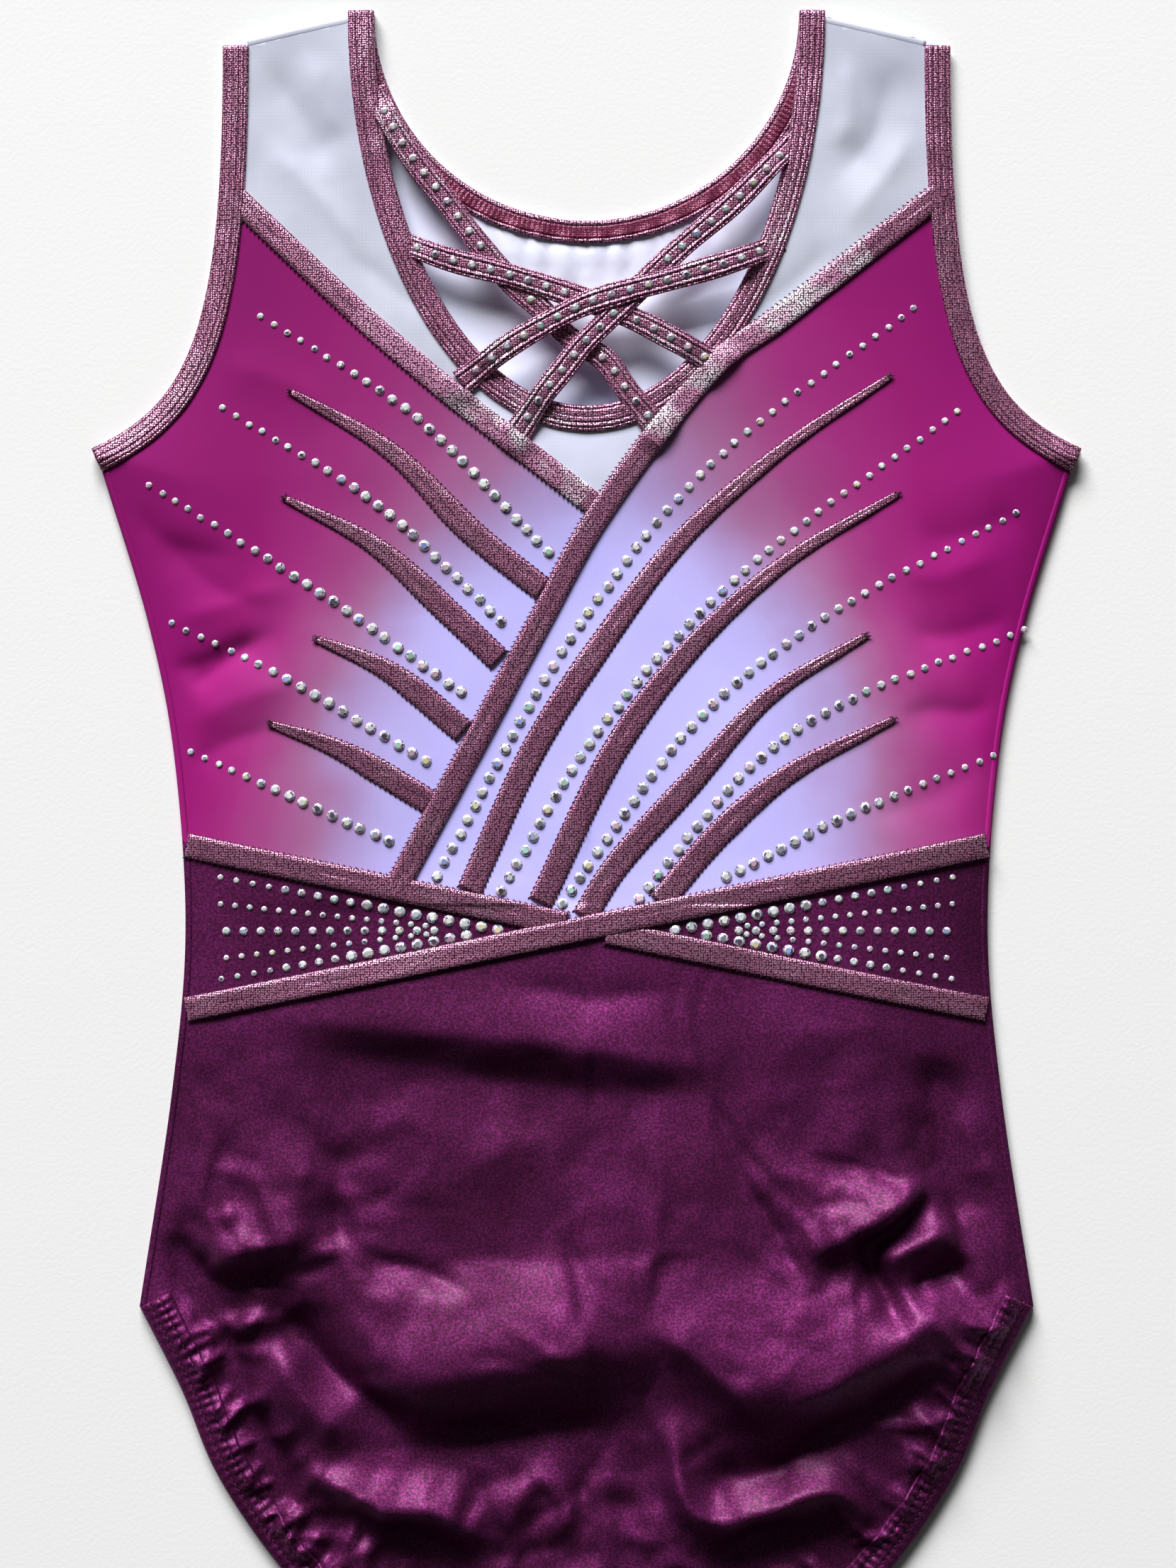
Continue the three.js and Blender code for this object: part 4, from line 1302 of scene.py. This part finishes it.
def spindles(name, centres, ways, length, width, finish):
    """Many small stitches as one mesh, each a spindle with a point at both ends."""
    ways = ways / np.linalg.norm(ways, axis=1)[:, None]
    ups = np.tile([0.0, 0.0, 1.0], (len(ways), 1))
    ups = ups - ways * np.sum(ups * ways, axis=1)[:, None]
    ups = ups / np.linalg.norm(ups, axis=1)[:, None]
    sides = np.cross(ways, ups)
    corners, faces = [], []
    turns = [(math.cos(a), math.sin(a))
             for a in np.arange(SPINDLE_SIDES) * math.tau / SPINDLE_SIDES]
    for k, (c, w, u, s) in enumerate(zip(centres, ways, ups, sides)):
        corners.append(c - w * length / 2)
        for share in (-0.28, 0.28):
            for a, b in turns:
                corners.append(c + w * length * share + (u * a + s * b) * width / 2)
        corners.append(c + w * length / 2)
        near = SPINDLE_POINTS * k + 1
        far = near + SPINDLE_SIDES
        for i in range(SPINDLE_SIDES):
            j = (i + 1) % SPINDLE_SIDES
            faces += [(near - 1, near + j, near + i), (near + i, near + j, far + j, far + i),
                      (far + i, far + j, far + SPINDLE_SIDES)]
    make_piece(name, np.array(corners), faces, [finish], [])


print("a stitch has", SPINDLE_POINTS, "points")

# %% [markdown]
# A row of stitches keeps an even pitch along its route. Each stitch lies at a slant to the route
# and tilts with the cloth under it.

# %% A row of stitches
def stitch_row(name, route, offset, pitch, length, width, slant, height, finish=plum_thread,
               slot="foil_tape"):
    """Stitches along a route: slant is their turn from it, in degrees."""
    route = stepped(route, pitch)
    side = right_of(route)
    turn = math.radians(slant)
    places = route + side * offset
    way = np.gradient(route, axis=0)
    way /= np.linalg.norm(way, axis=1)[:, None]
    direction = way * math.cos(turn) + side * math.sin(turn)
    z = lift(places[:, 0], places[:, 1]) + height
    ahead = places + direction * 0.5
    rise = (lift(ahead[:, 0], ahead[:, 1]) + height - z) * 2
    spindles(name, np.column_stack([places, z]), np.column_stack([direction, rise]), length, width,
             finish)


print("rows are made by", stitch_row.__name__)

# %% [markdown]
# The bodice bands are sewn along one edge with slanted stitches, and the waist bands along both.

# %% Stitches beside the bands
at_edge = band / 2 - SNUG
stitch_row("v_band_stitches", v_route, at_edge, 1.9, 1.7, 0.42, 52, 0.35)
stitch_row("wrap_band_stitches", wrap_route, at_edge, 1.9, 1.7, 0.42, 52, 0.65)
WAIST_EDGES = [("over_low", over_route, 1), ("over_high", over_route, -1),
               ("under_left_a", under_left, 1), ("under_left_b", under_left, -1),
               ("under_right_a", under_right, 1), ("under_right_b", under_right, -1)]
for name, route, edge in WAIST_EDGES:
    stitch_row("waist_stitches_" + name, route, edge * at_edge, 2.1, 1.6, 0.36, 30 * edge, 0.6)
print("stitched edges of the waist bands:", len(WAIST_EDGES))


# %% [markdown]
# The ray strips are cut to a long point. The row of stitches runs off at the tip, where a small tuft
# of thread ends is left. Their places are drawn on the bodice, in millimetres.

# %% Ray strips
RAYS = {
    "ray_strip_left_1": [(103, 126.6), (68, 150.4), (32.9, 181.4), (5.9, 216.5), (-18.4, 254.3),
                         (-40, 302)],
    "ray_strip_left_2": [(105.8, 166.6), (68, 189.5), (35.6, 219.2), (8.6, 255.7), (-15.7, 306)],
    "ray_strip_left_3": [(95, 215), (62.6, 235.4), (35.6, 265), (11.3, 292), (-0.8, 311)],
    "ray_strip_left_4": [(104.5, 243.5), (70.7, 261), (46.4, 281.3), (25, 306)],
    "ray_strip_right_1": [(-100.7, 131.5), (-67, 151.7), (-40, 178.7), (-15, 199)],
    "ray_strip_right_2": [(-102.6, 168), (-72.4, 184), (-45.4, 208.4), (-30, 223)],
    "ray_strip_right_3": [(-91.8, 216), (-67, 227.3), (-42, 247.5)],
    "ray_strip_right_4": [(-107.5, 245), (-83.2, 254.3), (-53, 272)],
}
print("rays:", len(RAYS))

# %% [markdown]
# A ray grows from a blunt tip to its full width over six tenths of its length. One generator
# draws all the thread ends, so no two tufts are alike.

# %% Cutting and sewing the rays
TUFT = 8
ray_rng = np.random.default_rng(17)
ray_outline = rounded(0.8, [(-0.84, 0.12, 0.06), (0.84, 0.12, 0.06)], count=21)


def ray_half_width(share):
    return 0.5 * (2.2 + 6.4 * np.clip(share / 0.62, 0, 1)**0.85)


for name, points in RAYS.items():
    route = smooth([at(*p) for p in points], 90)
    sweep(name + "_tape", route, ray_half_width, ray_outline, on_cloth(SNUG), [foil], "foil_tape",
          [name], ripple=uneven(0.12, 6, 55))
    for letter, edge in (("b", -1), ("a", 1)):
        low = stepped(route, 1.0)
        half = ray_half_width(arc_length(low) / arc_length(low)[-1]) * edge
        stitch_row(name + "_stitches_" + letter, low + right_of(low) * half[:, None], 0, 2.0, 1.5,
                   0.34, 28 * edge, 0.2)
    tip = route[0]
    back = (tip - route[3]) / np.linalg.norm(tip - route[3])
    angles = ray_rng.uniform(-0.9, 0.9, TUFT)
    ways = np.column_stack([back[0] * np.cos(angles) - back[1] * np.sin(angles),
                            back[0] * np.sin(angles) + back[1] * np.cos(angles),
                            ray_rng.uniform(0.0, 0.35, TUFT)])
    centres = np.column_stack([tip + back * 0.5 + ray_rng.uniform(-0.8, 0.8, (TUFT, 2)),
                               lift(np.full(TUFT, tip[0]), np.full(TUFT, tip[1])) + 0.6])
    spindles(name + "_tuft", centres, ways, 3.0, 0.36, plum_thread)
print("thread ends:", TUFT * len(RAYS))

# %% [markdown]
# ## The crossing straps
# Four narrow straps cross in the neck opening, one above the other. Each is a tube turned out and
# pressed flat: a flat middle for the stones, and a ridge near both edges, painted silvery as a glint.

# %% Routes of the straps
STRAPS = [
    ("shoulder_right", [(-73, 27), (-66, 41), (-57.4, 54), (-49, 64.5), (-41.5, 74.6),
                        (-27.4, 92), (-15.6, 103), (-6.4, 112.3), (6.3, 120.5), (13.8, 130.8),
                        STRAP_FEET[0]]),
    ("neck_right", [(-66, 78.5), (-49.2, 85.5), (-27.4, 91.3), (-11.4, 96.3), (-1.3, 99.8),
                    (15.5, 106.4), (27.3, 112.3), STRAP_FEET[1]]),
    ("shoulder_left", [(72, 44), (51.8, 65.3), (30.2, 84.2), (11.3, 103), (7.1, 107.2),
                       (-1.3, 115.6), (-8, 124), (-14.8, 132.5), STRAP_FEET[2]]),
    ("neck_left", [(67, 79.5), (52.5, 86.2), (27.3, 93.8), (14.7, 97.1), (-1.3, 102.2),
                   (-17.3, 110.5), (-28.2, 117.3), STRAP_FEET[3]]),
]
print("straps:", [name for name, _ in STRAPS])

# %% [markdown]
# A strap starts under the neck binding, rises to its own level over the straps that it crosses,
# and comes down again to its foot. So the four can never cut through each other.

# %% Straps
STRAP_GROOVES = [(-0.40, 0.22, 0.07), (0.40, 0.22, 0.07), (-0.8, 0.3, 0.06), (0.8, 0.3, 0.06)]
strap_outline = rounded(0.75, STRAP_GROOVES, [(-0.6, 0.25, 0.1), (0.6, 0.25, 0.1)], count=45)
strap_routes, strap_bases = {}, {}
for level, (name, points) in enumerate(STRAPS):
    route = smooth([at(*p) for p in points], 140)
    ends = lift(route[[0, -1], 0], route[[0, -1], 1]) + [-0.3, 0.95]
    long = arc_length(route)[-1]

    def strap_base(x, y, along, ends=ends, long=long, level=level):
        share = np.clip(along / long, 0, 1)
        raised = 0.25 + 0.95 * level
        from_start, from_end = along, long - along
        under = 1.6 * soft_step(from_start, 3, 12)
        return (mix(ends[0], ends[1] - 1.6, share) + under
                + raised * soft_step(np.minimum(from_start, from_end), 3, 18))

    strap_routes[name], strap_bases[name] = route, strap_base
    # The faces of the two ridges get the silvery ridge foil: a painted glint.
    sweep("cross_strap_" + name + "_tape", route,
          lambda share: 4.0 + 0.9 * soft_step(share, 0.88, 1.0) - 0.2 * np.sin(share * 21),
          strap_outline, strap_base, [foil, foil_ridge_glint], "foil_tape", ["cross_strap_" + name],
          face_kinds=lambda j, share: int(abs(abs(j - 23) - 14) < 3),
          ripple=uneven(0.12, 8, 61 + level))


# %% [markdown]
# ## The stones
# A cut stone shows a few tints at once, painted here as reflections: white and grey, dark where it
# reflects nothing, and a flash of green, pink, gold or blue from the rainbow coat. Each has its odds,
# and the first ones are common.

# %% Painted reflections of cut glass
FACET_REFLECTIONS = [(0.97, 0.97, 1.0), (0.78, 0.80, 0.88), (0.42, 0.41, 0.50), (0.55, 0.92, 0.80),
         (0.96, 0.62, 0.82), (0.98, 0.86, 0.55), (0.16, 0.12, 0.20), (0.42, 0.50, 1.0)]
REFLECTION_ODDS = [0.33, 0.16, 0.17, 0.08, 0.08, 0.05, 0.09, 0.04]
# The rim colour: glue, darkened as painted shadow round each stone.
GLUE_AND_SHADOW_RIM = (0.30, 0.24, 0.32)
print("tints:", len(FACET_REFLECTIONS), "with odds that add up to", round(sum(REFLECTION_ODDS), 2))

# %% [markdown]
# A flat-backed stone has a flat table, two rings of crown facets and a thin dark rim of glue,
# darkened as painted shadow round the stone. All stones of a row are one mesh. Each facet gets a
# painted reflection by chance, and each stone tilts with the cloth under it, so a row sparkles
# unevenly as glued stones do.

# %% Cut stones
SIDES = 10


def stones(name, centres, sizes, seed, nodes, ground=lift, painted_light_share=1.0):
    """Cut stones as one mesh, each tilted like the ground under it."""
    rng = np.random.default_rng(seed)
    x, y = centres[:, 0], centres[:, 1]
    slope_x = ground(x + 0.8, y) - ground(x - 0.8, y)
    slope_y = ground(x, y + 0.8) - ground(x, y - 0.8)
    ups = np.column_stack([-slope_x / 1.6, -slope_y / 1.6, np.ones(len(x))])
    ups[:, :2] += rng.normal(0, 0.05, (len(x), 2))
    ups /= np.linalg.norm(ups, axis=1)[:, None]
    points, faces, colours = [], [], []
    for centre, up, size in zip(centres, ups, sizes):
        east = np.cross([0.0, 1.0, 0.0], up)
        east /= np.linalg.norm(east)
        north = np.cross(up, east)
        spin = rng.uniform(0, math.tau)
        o = len(points)
        for radius, height, half_turn in ((0.53, -0.04, 0), (0.525, 0.03, 0), (0.50, 0.06, 0),
                                          (0.38, 0.17, 0.5), (0.24, 0.23, 0)):
            for k in range(SIDES):
                a = spin + (k + half_turn) * math.tau / SIDES
                points.append(centre + size * (radius * (east * math.cos(a) + north * math.sin(a))
                                               + up * height))
        # Each facet gets a painted reflection by chance.
        reflections = rng.choice(len(FACET_REFLECTIONS), 3 * SIDES + 1, p=REFLECTION_ODDS)
        # The last factor dims the facets of stones that lie in painted shade.
        bright = painted_light_share * rng.uniform(0.7, 1.15, 3 * SIDES + 1)
        facets = [tuple(np.array(FACET_REFLECTIONS[t]) * b) for t, b in zip(reflections, bright)]
        for k in range(SIDES):
            n = (k + 1) % SIDES
            a, b, c, d, e = (o + SIDES * ring for ring in range(5))
            faces += [(a + k, a + n, b + n, b + k), (b + k, b + n, c + n, c + k)]
            colours += [GLUE_AND_SHADOW_RIM, GLUE_AND_SHADOW_RIM]
            faces += [(c + k, c + n, d + k), (d + k, c + n, d + n), (d + k, d + n, e + n),
                      (d + k, e + n, e + k)]
            colours += [facets[k], facets[SIDES + k], facets[2 * SIDES + k], facets[2 * SIDES + k]]
        faces += [tuple(o + 4 * SIDES + k for k in range(SIDES)),
                  tuple(o + k for k in range(SIDES))[::-1]]
        colours += [facets[-1], GLUE_AND_SHADOW_RIM]
    piece = make_piece(name, points, faces, [crystal], nodes, smooth_shade=False)
    layer = piece.data.color_attributes.new("facet", "FLOAT_COLOR", "CORNER")
    corner_colours = [c for f, c in zip(faces, colours) for _ in f]
    layer.data.foreach_set("color", np.column_stack([np.clip(corner_colours, 0, 1),
                                                     np.ones(len(corner_colours))]).ravel())


print("facets of a stone:", 3 * SIDES + 1)

# %% [markdown]
# Rows of stones run between the rays, set with even gaps. They grow from 2.4 mm at the outside
# to 3.9 mm at the middle. A hand sets them a little off the line.

# %% Rows on the bodice
def spaced(line, count):
    """Points at even distances along a line, ends included."""
    return read_along(line, np.linspace(0, arc_length(line)[-1], count))


ROWS = {
    "left_1": (48, [(112, 102.3), (42.4, 156.3), (-7.6, 219.2), (-51.3, 297)]),
    "left_2": (44, [(126.9, 138), (54.5, 192.2), (5.9, 244.9), (-29.2, 302)]),
    "left_3": (40, [(147.2, 172.5), (81.5, 208.4), (35.6, 246.2), (-8.4, 306.2)]),
    "left_4": (32, [(150.4, 212.5), (89.6, 236.8), (54.5, 261), (18, 304.8)]),
    "left_5": (20, [(139.6, 255.7), (86.9, 277.3), (47.8, 297.5)]),
    "right_1": (25, [(-111.5, 105.3), (-58.9, 139.6), (-13, 186.3)]),
    "right_2": (24, [(-124.5, 136.9), (-72.4, 169.3), (-29.2, 209.8)]),
    "right_3": (25, [(-149.9, 163), (-96.7, 196.3), (-42.7, 234)]),
    "right_4": (19, [(-142, 210.3), (-102, 230), (-54.8, 257.6)]),
    "right_5": (15, [(-135.8, 254.3), (-99.4, 270.5), (-67.5, 284.9)]),
}
SMALL_STONE, LARGE_STONE = 2.4, 3.9
HAND = 0.16
stone_count = 0
for number, (name, (count, points)) in enumerate(ROWS.items()):
    places = spaced(smooth([at(*p) for p in points], 120), count)
    places = places + np.random.default_rng(70 + number).normal(0, HAND, places.shape)
    share = np.linspace(0, 1, count)
    sizes = mix(SMALL_STONE, LARGE_STONE, soft_step(share, 0.1, 0.6))
    centres = np.column_stack([places, lift(places[:, 0], places[:, 1])])
    stones("crystals_" + name, centres, sizes, 90 + number, ["crystal_row_" + name])
    stone_count += count
print("stones on the bodice:", stone_count)

# %% [markdown]
# Each plum inset at the waist holds five rows that close up toward the middle. The top and the
# bottom row end in their largest stones there. Each row is given by its two ends and its sizes.

# %% Fields at the waist
WAIST_ROWS = [
    ((-125.4, 297.4), (-30.3, 315.3), [2.1] * 4 + [2.85] * 5 + [3.9] * 9),
    ((-125.3, 306.6), (-55, 313.9), [2.1] * 15),
    ((-123.3, 315.8), (-52, 315.5), [2.9] * 13),
    ((-123.3, 325), (-54.7, 316.8), [2.1] * 14),
    ((-125, 332.2), (-41, 317.3), [2.1] * 4 + [2.85] * 4 + [3.9] * 8),
]
for side, sign in (("right", 1), ("left", -1)):
    centres, sizes = [], []
    for start, end, row in WAIST_ROWS:
        for share, size in zip(np.linspace(0, 1, len(row)), row):
            centres.append(at(sign * mix(start[0], end[0], share), mix(start[1], end[1], share)))
            sizes.append(size)
    centres = np.array(centres)
    centres = np.column_stack([centres, lift(centres[:, 0], centres[:, 1])])
    stones("crystals_field_" + side, centres, np.array(sizes), 110 + (sign > 0),
           ["crystal_field_" + side])
    stone_count += len(sizes)
print("stones so far:", stone_count)

# %% [markdown]
# A line of smaller stones runs down the flat middle of each strap. Where a strap goes under another
# one it has no stones, because they would press into the strap above. Their facets are also painted
# darker, as painted shade of the neck opening.

# %% Stones on the straps
STRAP_STONE, STONE_GAP, STRAP_CLEAR = 2.9, 6.3, 5.6
FIRST_STONE, LAST_STONE = 9, 7
for level, (name, _) in enumerate(STRAPS):
    route, base = strap_routes[name], strap_bases[name]
    long = arc_length(route)[-1]
    places = spaced(part_of(route, FIRST_STONE, long - LAST_STONE),
                    int((long - FIRST_STONE - LAST_STONE) / STONE_GAP) + 1)
    above = [stepped(strap_routes[other], 1.0) for other, _ in STRAPS[level + 1:]]
    free = np.array([all(np.linalg.norm(line - p, axis=1).min() > STRAP_CLEAR for line in above)
                     for p in places])
    along = np.linspace(FIRST_STONE, long - LAST_STONE, len(places))
    heights = base(None, None, along) + 0.7
    centres = np.column_stack([places, heights])[free]
    stones("crystals_strap_" + name, centres, np.full(free.sum(), STRAP_STONE), 120 + level,
           ["crystal_row_strap_" + name], ground=lambda x, y: x * 0, painted_light_share=0.72)
    stone_count += int(free.sum())
print("stones:", stone_count)

# %% [markdown]
# ## Leg hems, side seams and joined edges
# The leg edge is turned under over elastic and sewn with two rows of stitches. The elastic
# draws the satin into small puckers about 3 mm apart.

# %% Leg hems
PUCKER = 3.2
hem_outline = rounded(1.5, [(-0.3, 0.35, 0.08), (0.35, 0.45, 0.08), (0.78, 0.25, 0.06)], count=29)


def hem_ripple(along, across):
    wave = np.sin(along * math.tau / PUCKER + 1.6 * lumps(along, along * 0, 11, 131))
    return (0.20 + 0.10 * np.sign(across)) * wave * (1 - abs(across)**4)


for side, line in (("left", leg_line), ("right", mirrored(leg_line))):
    node_name = "leg_hem_" + side
    route = inward(line, hem / 2)
    sweep(node_name + "_front", route, hem / 2, hem_outline, on_cloth(0.0), [plum], "plum_satin",
          [node_name], step=0.5, ripple=hem_ripple)
    sweep(node_name + "_back", inward(line, hem / 2 + 0.4), hem / 2, rounded(1.0, count=15),
          low_down(0.2), [plum], "plum_satin", [node_name])
    for row, offset in (("outer", -0.3), ("inner", 0.35)):
        stitch_row(node_name + "_stitches_" + row, route, offset * hem / 2, 2.3, 1.7, 0.4, 0, 1.35,
                   pink_thread, "plum_satin")
print("hems:", hem, "mm wide")


# %% [markdown]
# A side seam joins front and back along a fold, so the outside of the garment closes there in a
# rounded edge. It changes colour at the waist, like the cloth beside it.

# %% Side seams
EDGE_SHAPE = [  # across, up, and whether up counts from the front cloth (1) or the table (0)
    (2.2, 0.10, 1), (1.2, 0.14, 1), (0.5, 0.10, 1), (0.05, -0.15, 1), (-0.2, -0.7, 1),
    (-0.3, 0.9, 0), (-0.1, 0.4, 0), (0.5, 0.1, 0), (2.2, 0.1, 0)]


def closed_edge(name, line, finishes, slot, nodes, kinds):
    """A rounded edge from the front cloth down to the table."""
    line = stepped(line, 1.5)
    side = right_of(line)
    rings = []
    for across, up, share in EDGE_SHAPE:
        place = line + side * across
        under = line + side * max(across, 0)
        rings.append(np.column_stack([place, share * lift(under[:, 0], under[:, 1]) + up]))
    closed_tube(name, rings, lambda i, j: kinds(rings[0][i, 1]), finishes, slot, nodes)


for side, line in (("left", side_line), ("right", mirrored(side_line))):
    closed_edge("side_seam_" + side + "_edge", line, [magenta, plum], "magenta_ombre",
                ["side_seam_" + side], lambda y: int(y < top - waist_high))
print("side seams:", round(arc_length(side_line)[-1]), "mm long")

# %% [markdown]
# At the shoulder the front and back mesh are sewn edge to edge. The seam is a soft bead between
# the two bindings, and its inner edge sinks below the cloth so that no dark line shows.

# %% Shoulder seams
shoulder_ends = np.array([at(neck_half, 0), at(shoulder_half, shoulder_slope)])
shoulder_line = np.array([mix(*shoulder_ends, 0.16), mix(*shoulder_ends, 0.84)])
shoulder_bead = [(-1, -2.0), (-0.95, -0.3), (-0.75, 0.0), (-0.3, 0.12), (0.2, 0.10), (0.7, -0.05),
                 (1, -0.4), (1, -2.0)]
for side, line in (("left", shoulder_line), ("right", mirrored(shoulder_line))):
    sweep("shoulder_seam_" + side + "_edge", inward(line, 1.3), 1.5, shoulder_bead, on_cloth(0.0),
          [mesh_cloth], "white_mesh", ["shoulder_seam_" + side])
print("shoulder seams:", round(arc_length(shoulder_line)[-1]), "mm long")

# %% [markdown]
# The crotch seam closes the short edge between the two leg hems, rounded like the sides. It stops
# just short of the hems, which are sewn over its ends.

# %% Crotch seam
HEM_SEWN_OVER = 11
crotch_line = np.array([at(crotch_half - HEM_SEWN_OVER, length),
                        at(-crotch_half + HEM_SEWN_OVER, length)])
closed_edge("crotch_seam_edge", crotch_line, [plum], "plum_satin", ["crotch_seam"], lambda y: 0)
print("crotch seam:", round(arc_length(crotch_line)[-1]), "mm long")

# %% [markdown]
# ## Table and light
# The garment lies on a plain, pale and quite matte table, so that nothing is mirrored in it.

# %% Table
bpy.ops.mesh.primitive_plane_add(size=60)
floor = bpy.context.active_object
floor.name = "floor"
material, tree, shader, place = new_finish("table")
grain = node(tree, "ShaderNodeTexNoise", {"Vector": place, "Scale": 700, "Detail": 3})
settle(shader, {"Base Color": (0.83, 0.835, 0.83, 1), "Roughness": 0.95,
                "Specular IOR Level": 0.05})
bump(tree, shader, grain.outputs["Fac"], 0.12 * MM, 0.35)
floor.data.materials.append(material)
print("table:", floor.name)

# %% [markdown]
# The light is one wide window far behind the shoulders, fairly low, with a faint even glow from
# the room. Low light from one side is what makes folds read: slopes that face it shine, and
# slopes that face away go dark.

# %% Light
world = bpy.data.worlds.new("world")
bpy.context.scene.world = world
world.use_nodes = True
settle(world.node_tree.nodes["Background"], {"Color": (1.0, 0.98, 0.98, 1), "Strength": 0.075})

WINDOW_PLACE = Vector((-2.8, 10.4, 5.35))
window = bpy.data.lights.new("window", "AREA")
window.shape = "RECTANGLE"
window.size, window.size_y = 8.4, 4.5
window.energy = 3500
window_lamp = bpy.data.objects.new("window", window)
window_lamp.location = WINDOW_PLACE
window_lamp.rotation_euler = (-WINDOW_PLACE).to_track_quat("-Z", "Y").to_euler()
bpy.context.collection.objects.link(window_lamp)
bpy.context.scene.view_settings.view_transform = "Standard"
bpy.context.scene.view_settings.gamma = 0.86
print("window:", window.energy, "W")
